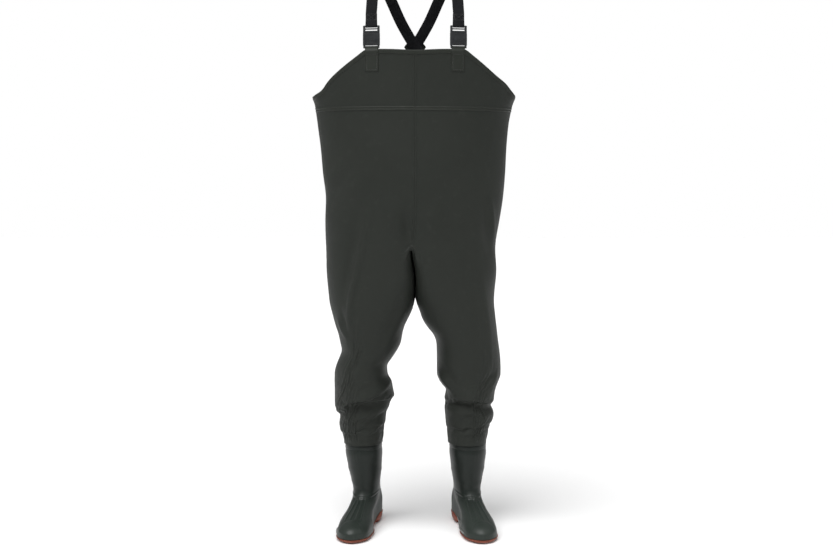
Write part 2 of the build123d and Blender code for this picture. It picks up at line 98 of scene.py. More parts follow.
def smoothed(directions, times):
    """Unit vectors along a path, each drawn towards its neighbours, in place."""
    for _ in range(times):
        directions[1:-1] = unit(directions[:-2] + directions[1:-1] + directions[2:])
    return directions


def lengths(path):
    """How far along a polyline each of its points is."""
    return np.concatenate([[0], np.cumsum(np.linalg.norm(np.diff(path, axis=0), axis=1))])


def sample(table, length, at):
    """The columns of a table, read at a place or places along its length."""
    return np.stack([np.interp(at, length, table[:, k]) for k in range(table.shape[1])], -1)


def grid_normals(points, closed):
    """Outward normals of a grid of points: rows go up, columns go round."""
    if closed:
        du = np.roll(points, -1, 1) - np.roll(points, 1, 1)
    else:
        du = np.gradient(points, axis=1)
    dv = np.gradient(points, axis=0)
    return unit(np.cross(du, dv))


def near_line(points, line):
    """Distance from each point to a polyline, and how far along it the nearest place is, 0 to 1."""
    best = np.full(points.shape[:-1], 1e9)
    along = np.zeros(points.shape[:-1])
    line = np.array(line, float)
    for i in range(len(line) - 1):
        a, d = line[i], line[i + 1] - line[i]
        t = np.clip(((points - a) @ d) / (d @ d), 0, 1)
        gap = np.linalg.norm(points - (a + t[..., None] * d), axis=-1)
        closer = gap < best
        best = np.where(closer, gap, best)
        along = np.where(closer, (i + t) / (len(line) - 1), along)
    return best, along


# ---------------------------------------------------------------- mesh helpers
def make_object(name, verts, faces, material=None, smooth=True, uv=None):
    mesh = bpy.data.meshes.new(name)
    mesh.from_pydata([tuple(v) for v in verts], [], [tuple(f) for f in faces])
    mesh.validate()
    if uv is not None:
        layer = mesh.uv_layers.new(name="cloth")
        index = np.zeros(len(mesh.loops), np.int32)
        mesh.loops.foreach_get("vertex_index", index)
        layer.data.foreach_set("uv", np.asarray(uv, np.float32)[index].ravel())
    obj = bpy.data.objects.new(name, mesh)
    bpy.context.scene.collection.objects.link(obj)
    if material:
        mesh.materials.append(material)
    mesh.polygons.foreach_set("use_smooth", [smooth] * len(mesh.polygons))
    return obj


def grid_faces(rows, cols, closed=False, closed_rows=False):
    """Quads of a grid whose vertices are numbered row by row."""
    faces = []
    for r in range(rows if closed_rows else rows - 1):
        for c in range(cols if closed else cols - 1):
            a, b = c, (c + 1) % cols
            up = (r + 1) % rows
            faces.append((r * cols + a, r * cols + b, up * cols + b, up * cols + a))
    return faces


def facing_out(faces, side):
    """Faces of a closed shape that is drawn on one side and mirrored to the other."""
    return [f[::-1] for f in faces] if side > 0 else faces


def join(name, objects):
    """Several fresh objects as one."""
    for other in bpy.context.selected_objects:
        other.select_set(False)
    for obj in objects:
        obj.select_set(True)
    bpy.context.view_layer.objects.active = objects[0]
    if len(objects) > 1:
        bpy.ops.object.join()
    objects[0].name = name
    return objects[0]


def apply_modifiers(obj):
    """Bakes an object's modifiers into its mesh."""
    bpy.context.view_layer.update()
    graph = bpy.context.evaluated_depsgraph_get()
    mesh = bpy.data.meshes.new_from_object(obj.evaluated_get(graph))
    obj.modifiers.clear()
    obj.data = mesh
    return obj


def face_outwards(obj):
    """Makes the faces of a closed mesh look outwards."""
    mesh = bmesh.new()
    mesh.from_mesh(obj.data)
    bmesh.ops.recalc_face_normals(mesh, faces=mesh.faces)
    mesh.to_mesh(obj.data)
    mesh.free()


def settle(obj, body, slot, *nodes):
    """Gives a piece its body and hides the CAD nodes that it stands for. The slot is not used."""
    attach(obj, body)
    if nodes:
        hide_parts(*nodes)
    return obj


# ---------------------------------------------------------------- materials
def new_material(name):
    material = bpy.data.materials.new(name)
    material.use_nodes = True
    tree = material.node_tree
    shader = next(n for n in tree.nodes if n.type == "BSDF_PRINCIPLED")
    return material, tree, shader


def node(tree, kind, values=None, **settings):
    made = tree.nodes.new(kind)
    for key, value in settings.items():
        setattr(made, key, value)
    for key, value in (values or {}).items():
        made.inputs[key].default_value = value
    return made


def link(tree, output, target):
    tree.links.new(output, target)


def noise(tree, coords, scale, detail=3.0, rough=0.55, stretch=None):
    """A noise texture on the given coordinates, with optional stretching."""
    if stretch:
        mapping = node(tree, "ShaderNodeMapping", {"Scale": stretch})
        link(tree, coords, mapping.inputs["Vector"])
        coords = mapping.outputs["Vector"]
    made = node(tree, "ShaderNodeTexNoise", {"Scale": scale, "Detail": detail, "Roughness": rough})
    link(tree, coords, made.inputs["Vector"])
    return made.outputs["Fac"]


def mixed(tree, factor, first, second, low=0.3, high=0.7):
    """A colour between two, led by a factor stretched from low..high to 0..1."""
    span = node(tree, "ShaderNodeMapRange", {"From Min": low, "From Max": high})
    link(tree, factor, span.inputs["Value"])
    mix = node(tree, "ShaderNodeMix", data_type="RGBA")
    link(tree, span.outputs["Result"], mix.inputs["Factor"])
    for socket, value in (("A", first), ("B", second)):
        target = next(i for i in mix.inputs if i.name == socket and i.type == "RGBA")
        if isinstance(value, bpy.types.NodeSocket):
            link(tree, value, target)
        else:
            target.default_value = (*value, 1)
    return next(o for o in mix.outputs if o.type == "RGBA")


def ranged(tree, factor, low, high, into, from_low=0.3, from_high=0.7):
    """Leads a factor, as low..high, into a socket."""
    span = node(tree, "ShaderNodeMapRange",
                {"From Min": from_low, "From Max": from_high, "To Min": low, "To Max": high})
    link(tree, factor, span.inputs["Value"])
    link(tree, span.outputs["Result"], into)


def bumps(tree, shader, layers):
    """Stacks bump layers (height output, strength, distance) on the shader's normal."""
    last = None
    for height, strength, distance in layers:
        made = node(tree, "ShaderNodeBump", {"Strength": strength, "Distance": distance})
        link(tree, height, made.inputs["Height"])
        if last:
            link(tree, last, made.inputs["Normal"])
        last = made.outputs["Normal"]
    link(tree, last, shader.inputs["Normal"])


def weave(tree, uv, pitch):
    """Height of a plain weave with the given pitch in metres, on coordinates in metres."""
    separate = node(tree, "ShaderNodeSeparateXYZ")
    link(tree, uv, separate.inputs["Vector"])
    waves = []
    for axis in "XY":
        turn = node(tree, "ShaderNodeMath", {1: 2 * math.pi / pitch}, operation="MULTIPLY")
        link(tree, separate.outputs[axis], turn.inputs[0])
        wave = node(tree, "ShaderNodeMath", operation="SINE")
        link(tree, turn.outputs[0], wave.inputs[0])
        waves.append(wave.outputs[0])
    both = node(tree, "ShaderNodeMath", operation="MULTIPLY")
    link(tree, waves[0], both.inputs[0])
    link(tree, waves[1], both.inputs[1])
    return both.outputs[0]


def coords(tree, which="Object"):
    return node(tree, "ShaderNodeTexCoord").outputs[which]


def cloth_material(name, dark, light, rough=(0.46, 0.60), weave_strength=0.25):
    """Polyester coated with soft vinyl: a faint weave, dull sheen, rubbed patches and dust."""
    material, tree, shader = new_material(name)
    where = coords(tree)
    uv = node(tree, "ShaderNodeUVMap", uv_map="cloth").outputs["UV"]
    broad = noise(tree, where, 3.2, 5, 0.6)
    fine = noise(tree, where, 55, 4, 0.6)
    tone = mixed(tree, broad, dark, light, 0.32, 0.68)
    pale = tuple(c * 1.15 + 0.002 for c in light)
    link(tree, mixed(tree, fine, tone, pale, 0.58, 0.95), shader.inputs["Base Color"])
    ranged(tree, broad, *rough, shader.inputs["Roughness"])
    shader.inputs["Specular IOR Level"].default_value = 0.14
    grain = noise(tree, where, 420, 2, 0.5)
    ripple = noise(tree, where, 26, 3, 0.5)
    bumps(tree, shader, [
        (ripple, 0.16, 0.004), (grain, 0.12, 0.0004), (weave(tree, uv, 0.0011), weave_strength, 0.00012)])
    return material


PAINTED_LIGHT_HEIGHTS = (0.060, 0.105)  # the heights between which the boot's painted light changes: the foot painted paler, as if lit from above, the shaft painted darker, as if in shade


def boot_material():
    """Injection-moulded vinyl: semi-gloss, slightly mottled, with fine scuffs, and painted light: the foot
    painted paler than the shaft, as if lit from above.
    """
    material, tree, shader = new_material("boot_vinyl")
    where = coords(tree)
    broad = noise(tree, where, 9, 4, 0.55)
    place = node(tree, "ShaderNodeSeparateXYZ")
    link(tree, where, place.inputs[0])
    # Painted light: the shaft's colour is painted darker, as if in shade, and the foot's paler, as if lit
    # from above.
    shaft = mixed(tree, broad, (0.0052, 0.0082, 0.0064), (0.0078, 0.0114, 0.0092))
    foot = mixed(tree, broad, (0.0150, 0.0200, 0.0166), (0.0200, 0.0260, 0.0220))
    tone = mixed(tree, place.outputs["Z"], foot, shaft, *PAINTED_LIGHT_HEIGHTS)
    scuff = noise(tree, where, 38, 6, 0.75, (1, 1, 3))
    link(tree, mixed(tree, scuff, tone, (0.040, 0.048, 0.043), 0.66, 0.95), shader.inputs["Base Color"])
    ranged(tree, broad, 0.34, 0.46, shader.inputs["Roughness"])
    shader.inputs["Specular IOR Level"].default_value = 0.27
    dents, grain = noise(tree, where, 18, 3, 0.5), noise(tree, where, 700, 2, 0.5)
    bumps(tree, shader, [(dents, 0.10, 0.003), (grain, 0.10, 0.0002)])
    return material


def sole_material():
    """Red-brown rubber, dusty in patches spread at random."""
    material, tree, shader = new_material("sole_rubber")
    where = coords(tree)
    tone = mixed(tree, noise(tree, where, 14, 5, 0.6), (0.155, 0.034, 0.016), (0.22, 0.055, 0.028))
    link(tree, mixed(tree, noise(tree, where, 60, 5, 0.7), tone, (0.25, 0.13, 0.09), 0.62, 0.95),
         shader.inputs["Base Color"])
    shader.inputs["Roughness"].default_value = 0.62
    bumps(tree, shader, [(noise(tree, where, 300, 3, 0.6), 0.25, 0.0005)])
    return material


def webbing_material():
    """Ribbed polypropylene webbing: herringbone ribs across and fine threads along."""
    material, tree, shader = new_material("webbing")
    uv = node(tree, "ShaderNodeUVMap", uv_map="cloth").outputs["UV"]
    where = coords(tree)
    thread = weave(tree, uv, 0.0022)
    tone = mixed(tree, noise(tree, where, 40, 4, 0.6), (0.005, 0.005, 0.006), (0.009, 0.0095, 0.011))
    link(tree, mixed(tree, thread, tone, (0.018, 0.019, 0.022), 0.1, 1.4), shader.inputs["Base Color"])
    shader.inputs["Roughness"].default_value = 0.85
    shader.inputs["Specular IOR Level"].default_value = 0.16
    bumps(tree, shader, [(thread, 0.8, 0.0004), (noise(tree, where, 900, 2, 0.6), 0.3, 0.0002)])
    return material


def plastic_material():
    """Black acetal with a fine spark-eroded texture and paler rubbed flecks spread at random."""
    material, tree, shader = new_material("buckle_plastic")
    where = coords(tree)
    tone = mixed(tree, noise(tree, where, 60, 4, 0.6), (0.012, 0.013, 0.014), (0.019, 0.020, 0.022))
    link(tree, mixed(tree, noise(tree, where, 160, 6, 0.8), tone, (0.07, 0.07, 0.075), 0.66, 1.0),
         shader.inputs["Base Color"])
    ranged(tree, noise(tree, where, 90, 3, 0.5), 0.34, 0.50, shader.inputs["Roughness"])
    shader.inputs["Specular IOR Level"].default_value = 0.30
    bumps(tree, shader, [(noise(tree, where, 1500, 2, 0.5), 0.18, 0.0002)])
    return material


def knit_material(name, dark, light):
    """Fine knitted lining."""
    material, tree, shader = new_material(name)
    where = coords(tree)
    tone = mixed(tree, noise(tree, where, 320, 3, 0.6), dark, light, 0.35, 0.65)
    link(tree, tone, shader.inputs["Base Color"])
    shader.inputs["Roughness"].default_value = 0.9
    shader.inputs["Sheen Weight"].default_value = 0.3
    bumps(tree, shader, [(noise(tree, where, 900, 2, 0.6), 0.6, 0.0005)])
    return material


CLOTH = cloth_material("coated_cloth", (0.0168, 0.0190, 0.0162), (0.0206, 0.0230, 0.0196))
TRIM = cloth_material("coated_cloth_trim", (0.0175, 0.0200, 0.0165), (0.0230, 0.0255, 0.0212), (0.40, 0.52))
TAPE = cloth_material("seam_tape", (0.009, 0.010, 0.009), (0.014, 0.015, 0.013), (0.35, 0.45))
BOOT = boot_material()
SOLE = sole_material()
WEBBING = webbing_material()
PLASTIC = plastic_material()
LINING = knit_material("lining_knit", (0.06, 0.062, 0.058), (0.11, 0.112, 0.105))
THREAD = knit_material("thread", (0.012, 0.012, 0.012), (0.03, 0.03, 0.03))

# ---------------------------------------------------------------- the garment's shape
Z_CUFF, Z_CALF, Z_CROTCH, Z_SEAM = 0.225, 0.420, 0.785, 1.138  # the rows are closer below the calf
Z_ARMHOLE, Z_BIB, Z_BACK = 1.167, 1.283, 1.236
X_BIB, X_ARMHOLE = 0.131, 0.262  # where the bib's level top ends, and the side seam's top
# The boots stand slightly unevenly, as worn, and the right one's shaft leans outwards.
BOOT_AT, TOE_OUT = {1: (0.1435, 0.0685), -1: (0.1330, 0.0685)}, math.radians(11.0)
SHAFT_LEAN = {1: 0.0, -1: 0.055}

# Outline of each half seen from the front: height, outer edge, inner edge (distances from the middle).
OUTLINE = {
    1: spline([
        (0.232, 0.1955, 0.0905), (0.246, 0.1985, 0.0890), (0.268, 0.2045, 0.0870), (0.290, 0.2130, 0.0840),
        (0.312, 0.2180, 0.0815), (0.333, 0.2130, 0.0765), (0.355, 0.2150, 0.0815), (0.376, 0.2190, 0.0860),
        (0.398, 0.2270, 0.0690), (0.420, 0.2335, 0.0605), (0.464, 0.2315, 0.0600), (0.508, 0.2255, 0.0590),
        (0.530, 0.2225, 0.0510), (0.552, 0.2200, 0.0330), (0.574, 0.2170, 0.0200), (0.596, 0.2145, 0.0130),
        (0.617, 0.2120, 0.0045), (0.641, 0.2130, -0.0030), (0.706, 0.2185, -0.0060), (0.760, 0.2150, -0.0060),
        (0.785, 0.2165, 0.0), (0.835, 0.2250, 0.0), (0.900, 0.2350, 0.0), (0.965, 0.2405, 0.0),
        (1.030, 0.2435, 0.0), (1.094, 0.2490, 0.0), (1.160, 0.2600, 0.0), (1.300, 0.2640, 0.0)]),
    -1: spline([
        (0.232, 0.1955, 0.0895), (0.246, 0.1990, 0.0870), (0.268, 0.2070, 0.0845), (0.290, 0.2120, 0.0815),
        (0.312, 0.2155, 0.0780), (0.333, 0.2200, 0.0650), (0.355, 0.2205, 0.0575), (0.376, 0.2205, 0.0610),
        (0.398, 0.2205, 0.0640), (0.420, 0.2200, 0.0750), (0.442, 0.2150, 0.0765), (0.464, 0.2060, 0.0630),
        (0.486, 0.1990, 0.0490), (0.508, 0.2030, 0.0385), (0.530, 0.2070, 0.0350), (0.552, 0.2145, 0.0295),
        (0.574, 0.2200, 0.0190), (0.596, 0.2255, 0.0085), (0.617, 0.2305, 0.0025), (0.641, 0.2325, -0.0030),
        (0.706, 0.2375, -0.0060), (0.760, 0.2380, -0.0060), (0.785, 0.2390, 0.0), (0.835, 0.2400, 0.0),
        (0.900, 0.2380, 0.0), (0.965, 0.2455, 0.0), (1.030, 0.2510, 0.0), (1.094, 0.2590, 0.0),
        (1.160, 0.2660, 0.0), (1.300, 0.2640, 0.0)]),
}
# Height, the middle of the leg across, and the front-most and rear-most points.
DEPTH = spline([
    (0.232, 0.1425, -0.0085, 0.1355), (0.262, 0.1435, -0.016, 0.137), (0.300, 0.1450, -0.027, 0.139),
    (0.350, 0.1440, -0.047, 0.142), (0.430, 0.1430, -0.066, 0.136), (0.510, 0.1300, -0.084, 0.131),
    (0.600, 0.1140, -0.108, 0.136), (0.660, 0.0920, -0.122, 0.139), (0.700, 0.0720, -0.131, 0.1415),
    (0.740, 0.0460, -0.139, 0.1445), (0.770, 0.0180, -0.1455, 0.1468), (0.785, 0.0, -0.1475, 0.1475),
    (0.840, 0.0, -0.150, 0.150), (1.100, 0.0, -0.150, 0.150), (1.300, 0.0, -0.148, 0.148)])

OUTER, INNER = 88, 44  # segments round the outer and inner arcs of a leg
LEG_ROWS, LOW_ROWS, BODY_ROWS, BIB_ROWS = 100, 48, 54, 16
ROW_PITCH, COLUMN_PITCH = 0.0066, 0.006  # typical steps of the grids, for the weave's coordinates


# The bib's slanting edge, as worn: distance from the middle, height.
ARM_EDGE = {
    1: spline([(X_BIB, 1.2810), (0.140, 1.2740), (0.176, 1.2460), (0.213, 1.2160), (0.240, 1.1960),
               (X_ARMHOLE, Z_ARMHOLE)]),
    -1: spline([(X_BIB, 1.2810), (0.140, 1.2735), (0.176, 1.2470), (0.213, 1.2170), (0.230, 1.1990),
                (0.241, 1.1830), (X_ARMHOLE, Z_ARMHOLE)]),
}


def top_edge(x, side, front):
    """Height of the garment's top edge at a distance x from the middle."""
    x = np.abs(x)
    if front:
        level = Z_BIB - 0.003 * bump(x, 0, 0.05)
        return np.where(x < X_BIB, level, ARM_EDGE[side](x)[..., 0])
    return np.interp(x, [0.100, 0.112, X_ARMHOLE], [Z_BACK, Z_BACK - 0.002, Z_ARMHOLE])


def ring(side, z, angle):
    """Points of one half at height z; angle runs 0 (front) to pi (back) outside, then to 2 pi inside."""
    outer, inner = np.moveaxis(OUTLINE[side](z), -1, 0)
    middle, front, back = np.moveaxis(DEPTH(z), -1, 0)
    s, c = np.sin(angle), np.cos(angle)
    flat = 0.90 + 0.10 * ramp(z, 0.45, 0.30) - 0.34 * ramp(z, 0.56, 0.70) * (s < 0)
    deep = 0.95 - 0.30 * ramp(z, 0.56, 0.70) * (s < 0)
    reach = np.where(s >= 0, outer - middle, middle - inner)
    x = middle + reach * np.sign(s) * np.abs(s) ** flat
    half, centre = (back - front) / 2, (back + front) / 2
    y = centre - half * np.sign(c) * np.abs(c) ** deep
    turn = TOE_OUT * ramp(z, 0.42, 0.24)
    dx, dy = x - middle, y - centre
    x = middle + dx * np.cos(turn) - dy * np.sin(turn) * 0.75
    y = centre + dy * np.cos(turn) + dx * np.sin(turn)
    return np.stack([side * x, y, z + 0 * x], -1)


def outer_angles():
    """Angles of the outer arc's columns, spaced evenly along it."""
    fine = np.linspace(0, math.pi, 2000)
    points = np.stack([0.25 * np.sin(fine), 0.15 * np.cos(fine)], -1)
    length = lengths(points)
    return np.interp(np.linspace(0, length[-1], OUTER + 1), length, fine)


OUT = outer_angles()
INN = np.linspace(math.pi, 2 * math.pi, INNER + 1)[1:-1]


def leg_grid(side):
    """A leg from its cuff to the crotch, as rows of points round it."""
    angle = np.concatenate([OUT, INN])
    heights = np.concatenate([np.linspace(Z_CUFF, Z_CALF, LOW_ROWS + 1)[:-1],
                              np.linspace(Z_CALF, Z_CROTCH, LEG_ROWS - LOW_ROWS + 1)])
    z = heights[:, None] + 0 * angle[None, :]
    inside = np.clip(-np.sin(angle), 0, 1)[None, :]
    z = z - 0.026 * inside ** 0.8 * np.exp(-(Z_CROTCH - z) / 0.045)
    points = ring(side, heights[:, None] + 0 * angle[None, :], angle[None, :] + 0 * heights[:, None])
    points[..., 2] = z
    return points


def body_grid(side):
    """Half of the body, from the crotch to the top edge, as rows of points from front to back."""
    low = np.linspace(Z_CROTCH, Z_SEAM, BODY_ROWS + 1)
    rows = [ring(side, np.full(len(OUT), h), OUT) for h in low]
    x = np.abs(ring(side, np.full(len(OUT), Z_ARMHOLE + 0.03), OUT)[:, 0])
    front = OUT <= math.pi / 2
    top = np.where(front, top_edge(x, side, True), top_edge(x, side, False))
    for share in np.linspace(0, 1, BIB_ROWS + 1)[1:]:
        rows.append(ring(side, Z_SEAM + share * (top - Z_SEAM), OUT))
    return np.array(rows)


def sculpt(points, normals, side):
    """Adds the folds that the hanging cloth takes at the hips, the crotch, the knees and above the boots."""
    x, z = points[..., 0] * side, points[..., 2]
    front = ramp(-normals[..., 1], -0.1, 0.5)
    back = ramp(normals[..., 1], -0.1, 0.5)
    flat = points.copy()
    flat[..., 1] = 0
    lift = np.zeros(points.shape[:-1])
    for line, width, height, where in FOLDS[side]:
        gap, along = near_line(flat, [(side * a, 0, b) for a, b in line])
        fade = np.sin(np.pi * np.clip(0.04 + 0.92 * along, 0, 1)) ** 0.8
        lift += height / (1 + (gap / width) ** 2) ** 1.2 * fade * (front if where == "front" else back)
    room = ramp(z, 0.258, 0.290)  # the boot's shaft stands inside the cuff
    lift = np.where(lift < 0, lift * room, lift)
    moved = points + normals * lift[..., None]
    # Cloth that has slid down swells over a ridge, drops over it and tucks in below.
    outward = unit(normals * (1, 1, 0))
    facing = 0.30 + 0.70 * np.abs(outward[..., 1])
    for line, lean, swell, tuck, drop, reach in RIDGES[side]:
        level = line(x)[..., 0] + lean * points[..., 1]
        over = z - level
        under = np.clip(-over / reach, 0, 1)
        above = np.exp(-((np.maximum(over, 0) / 0.030) ** 2))
        push = (swell * above * (1 - ramp(under, 0, 0.30))
                - tuck * ramp(under, 0.02, 0.30) * (1 - ramp(under, 0.40, 1)))
        push = np.where(push < 0, push * room, push) * facing
        moved += outward * (push * (over > -reach))[..., None]
        moved[..., 2] -= drop * facing * (bump(over, 0.004, 0.011) - 0.4 * bump(over, -0.018, 0.010))
    pucker = ramp(z, 0.275, 0.24)
    angle = np.arctan2(normals[..., 1], normals[..., 0] * side)
    ripple = np.sin(11 * angle + 1.3 * side) + 0.6 * np.sin(17 * angle + 2.0)
    moved += normals * (0.0009 * pucker * ripple)[..., None]
    return moved


# Folds: a line of (distance from the middle, height), its half width, its height, and the side it is on.
FOLDS = {
    -1: [
        ([(0.117, 0.885), (0.1485, 0.7185), (0.167, 0.643), (0.183, 0.510)], 0.0090, 0.0105, "front"),
        ([(0.143, 0.875), (0.1746, 0.7185), (0.190, 0.643)], 0.013, -0.0075, "front"),
        ([(0.205, 0.580), (0.192, 0.552), (0.180, 0.530)], 0.006, 0.0060, "front"),
        ([(0.197, 0.610), (0.184, 0.570), (0.172, 0.535)], 0.006, -0.0040, "front"),
        ([(0.185, 1.00), (0.222, 0.95), (0.240, 0.90)], 0.012, 0.0050, "front"),
        ([(0.170, 0.975), (0.210, 0.915), (0.232, 0.86)], 0.012, -0.0045, "front"),
        ([(0.026, 0.870), (0.016, 0.815), (0.003, 0.770)], 0.014, -0.0130, "front"),
        ([(0.080, 0.90), (0.052, 0.835), (0.030, 0.780)], 0.020, 0.0040, "front"),
        ([(0.012, 0.640), (0.048, 0.560), (0.080, 0.500)], 0.009, 0.0045, "front"),
        ([(0.030, 0.660), (0.064, 0.570), (0.095, 0.500)], 0.012, -0.0035, "front"),
        ([(0.078, 0.462), (0.105, 0.448), (0.150, 0.452)], 0.010, -0.0045, "front"),
        ([(0.050, 0.412), (0.085, 0.388), (0.125, 0.370), (0.160, 0.366)], 0.007, 0.0065, "front"),
        ([(0.062, 0.388), (0.095, 0.372), (0.135, 0.360)], 0.007, -0.0050, "front"),
        ([(0.205, 0.430), (0.190, 0.390), (0.200, 0.345)], 0.010, -0.0040, "front"),
        ([(0.104, 0.332), (0.140, 0.306), (0.190, 0.290)], 0.007, 0.0065, "front"),
        ([(0.078, 0.322), (0.115, 0.292), (0.163, 0.264)], 0.008, -0.0075, "front"),
        ([(0.083, 0.293), (0.112, 0.268), (0.150, 0.248)], 0.006, 0.0050, "front"),
        ([(0.200, 0.290), (0.180, 0.268), (0.160, 0.252)], 0.006, -0.0035, "front"),
        ([(0.060, 0.50), (0.120, 0.47), (0.190, 0.49)], 0.016, -0.0120, "back"),
        ([(0.060, 0.55), (0.120, 0.53), (0.190, 0.56)], 0.018, 0.0060, "back"),
        ([(0.070, 0.43), (0.130, 0.40), (0.200, 0.42)], 0.014, -0.0080, "back"),
        ([(0.030, 0.93), (0.110, 0.83), (0.190, 0.79)], 0.018, -0.0070, "back"),
        ([(0.020, 0.80), (0.080, 0.74), (0.170, 0.72)], 0.015, -0.0080, "back"),
        ([(0.150, 1.05), (0.190, 0.93), (0.205, 0.84)], 0.018, 0.0050, "back"),
        ([(0.080, 0.325), (0.140, 0.300), (0.200, 0.315)], 0.009, -0.0060, "back"),
        ([(0.090, 0.290), (0.140, 0.270), (0.195, 0.285)], 0.008, 0.0050, "back"),
    ],
    1: [
        ([(0.1965, 0.900), (0.201, 0.835), (0.208, 0.775)], 0.0085, 0.0105, "front"),
        ([(0.182, 0.880), (0.190, 0.810), (0.200, 0.740)], 0.012, -0.0060, "front"),
        ([(0.0, 0.845), (-0.004, 0.80), (-0.008, 0.765)], 0.016, -0.0100, "front"),
        ([(0.060, 0.90), (0.040, 0.83), (0.022, 0.78)], 0.020, 0.0040, "front"),
        ([(0.120, 0.72), (0.125, 0.60), (0.140, 0.50)], 0.020, -0.0030, "front"),
        ([(0.175, 0.70), (0.192, 0.58), (0.205, 0.47)], 0.012, 0.0045, "front"),
        ([(0.052, 0.445), (0.078, 0.410), (0.110, 0.372)], 0.007, 0.0075, "front"),
        ([(0.072, 0.450), (0.098, 0.415), (0.128, 0.380)], 0.010, -0.0050, "front"),
        ([(0.222, 0.430), (0.206, 0.395), (0.198, 0.366)], 0.006, 0.0060, "front"),
        ([(0.205, 0.430), (0.190, 0.400), (0.182, 0.372)], 0.008, -0.0045, "front"),
        ([(0.205, 0.325), (0.168, 0.290), (0.130, 0.252)], 0.007, 0.0060, "front"),
        ([(0.175, 0.335), (0.135, 0.306), (0.095, 0.278)], 0.008, -0.0070, "front"),
        ([(0.120, 0.335), (0.100, 0.310), (0.090, 0.285)], 0.006, 0.0040, "front"),
        ([(0.190, 0.300), (0.186, 0.275), (0.176, 0.256)], 0.006, -0.0045, "front"),
        ([(0.092, 0.262), (0.133, 0.246), (0.195, 0.262)], 0.0045, -0.0045, "front"),
        ([(0.092, 0.271), (0.133, 0.256), (0.195, 0.271)], 0.0045, 0.0030, "front"),
        ([(0.065, 0.48), (0.130, 0.46), (0.210, 0.485)], 0.016, -0.0120, "back"),
        ([(0.065, 0.54), (0.130, 0.52), (0.210, 0.54)], 0.018, 0.0060, "back"),
        ([(0.075, 0.42), (0.140, 0.395), (0.210, 0.41)], 0.014, -0.0080, "back"),
        ([(0.030, 0.95), (0.100, 0.86), (0.190, 0.81)], 0.018, -0.0070, "back"),
        ([(0.020, 0.79), (0.090, 0.73), (0.180, 0.70)], 0.015, -0.0080, "back"),
        ([(0.150, 1.06), (0.185, 0.95), (0.200, 0.86)], 0.018, 0.0050, "back"),
        ([(0.080, 0.315), (0.140, 0.325), (0.205, 0.300)], 0.009, -0.0060, "back"),
        ([(0.090, 0.285), (0.140, 0.290), (0.195, 0.270)], 0.008, 0.0050, "back"),
    ],
}
# Ridges of slid-down cloth: height across the leg, lean from front to back, swell above, tuck below, how far
# the ridge hangs over, and how far down the tuck reaches.
RIDGES = {
    -1: [
        (spline([(0.05, 0.366), (0.10, 0.361), (0.155, 0.356), (0.185, 0.344), (0.215, 0.322)]), -0.10,
         0.0065, 0.0130, 0.0110, 0.046),
        (spline([(0.07, 0.290), (0.12, 0.283), (0.17, 0.268), (0.21, 0.262)]), -0.08,
         0.0030, 0.0045, 0.0040, 0.020),
    ],
    1: [
        (spline([(0.06, 0.359), (0.11, 0.359), (0.165, 0.357), (0.21, 0.350)]), -0.12,
         0.0065, 0.0130, 0.0110, 0.042),
        (spline([(0.07, 0.278), (0.12, 0.276), (0.17, 0.286), (0.21, 0.290)]), -0.06,
         0.0030, 0.0040, 0.0035, 0.018),
    ],
}


def pressed(y, z):
    """Where, across, the two legs press against each other below the crotch."""
    return 0.0035 * np.sin(y / 0.018) * ramp(z, 0.775, 0.745)


def build_garment():
    """Welds two legs and two body halves into one mesh. Returns it and the vertex numbers of each grid."""
    places, found, ids = [], {}, {}
    faces, face_uvs = [], []
    for side in (1, -1):
        for part, grid, closed in (("leg", leg_grid(side), True), ("body", body_grid(side), False)):
            normals = grid_normals(grid, closed) * side
            if part == "leg":
                fade = ramp(grid[..., 2], Z_CUFF, Z_CUFF + 0.02)[..., None]
            else:
                fade = ramp(grid[..., 2], 1.13, 1.05)[..., None]
            fade = fade * np.ones_like(grid)
            moved = grid + (sculpt(grid, normals, side) - grid) * fade
            moved[..., 0] = np.where(np.abs(grid[..., 0]) < 1e-7, 0, moved[..., 0])
            if part == "leg":
                limit = side * pressed(moved[..., 1], moved[..., 2]) + 0.0006
                moved[:-1, :, 0] = side * np.maximum(side * moved[:-1, :, 0], limit[:-1])
            else:
                corner = bump(grid[..., 2], Z_ARMHOLE, 0.016) * ramp(np.abs(grid[..., 0]), 0.235, 0.262)
                moved[..., 0] += side * 0.006 * corner
            number = np.zeros(grid.shape[:2], int)
            for r in range(grid.shape[0]):
                for c in range(grid.shape[1]):
                    key = tuple(np.round(grid[r, c], 6) + 0.0)
                    if key not in found:
                        found[key] = len(places)
                        places.append(moved[r, c])
                    number[r, c] = found[key]
            ids[side, part] = number
            ring_length = np.linalg.norm(np.diff(grid, axis=1), axis=-1)
            run = np.cumsum(ring_length.mean(0))[None] + 0 * ring_length
            across = np.concatenate([np.zeros((len(grid), 1)), run], 1)
            if closed:
                across = np.concatenate([across, across[:, -1:] + COLUMN_PITCH], 1)
            rows, cols = grid.shape[:2]
            for r in range(rows - 1):
                for c in range(cols if closed else cols - 1):
                    n = (c + 1) % cols
                    quad = [(r, c, c), (r, n, c + 1), (r + 1, n, c + 1), (r + 1, c, c)]
                    if side < 0:
                        quad.reverse()
                    corner = [number[i, j] for i, j, _ in quad]
                    if len(set(corner)) < 4:
                        continue
                    faces.append(corner)
                    face_uvs.extend((side * across[i, k], i * ROW_PITCH) for i, _, k in quad)
    # As worn, the crotch sits a little towards the wearer's right.
    places = np.array(places)
    places[:, 0] -= 0.009 * bump(places[:, 2], 0.765, 0.055) * bump(places[:, 0], 0, 0.05)
    obj = make_object("garment", places, faces, CLOTH)
    layer = obj.data.uv_layers.new(name="cloth")
    layer.data.foreach_set("uv", np.array(face_uvs, np.float32).ravel())
    return obj, ids


garment, IDS = build_garment()


def positions(obj):
    co = np.zeros(len(obj.data.vertices) * 3)
    obj.data.vertices.foreach_get("co", co)
    return co.reshape(-1, 3)


# ---------------------------------------------------------------- the drape
DRAPE_FRAMES = 24
DRAPE_REACH = 0.022  # the furthest that the drape may move a place on the cloth


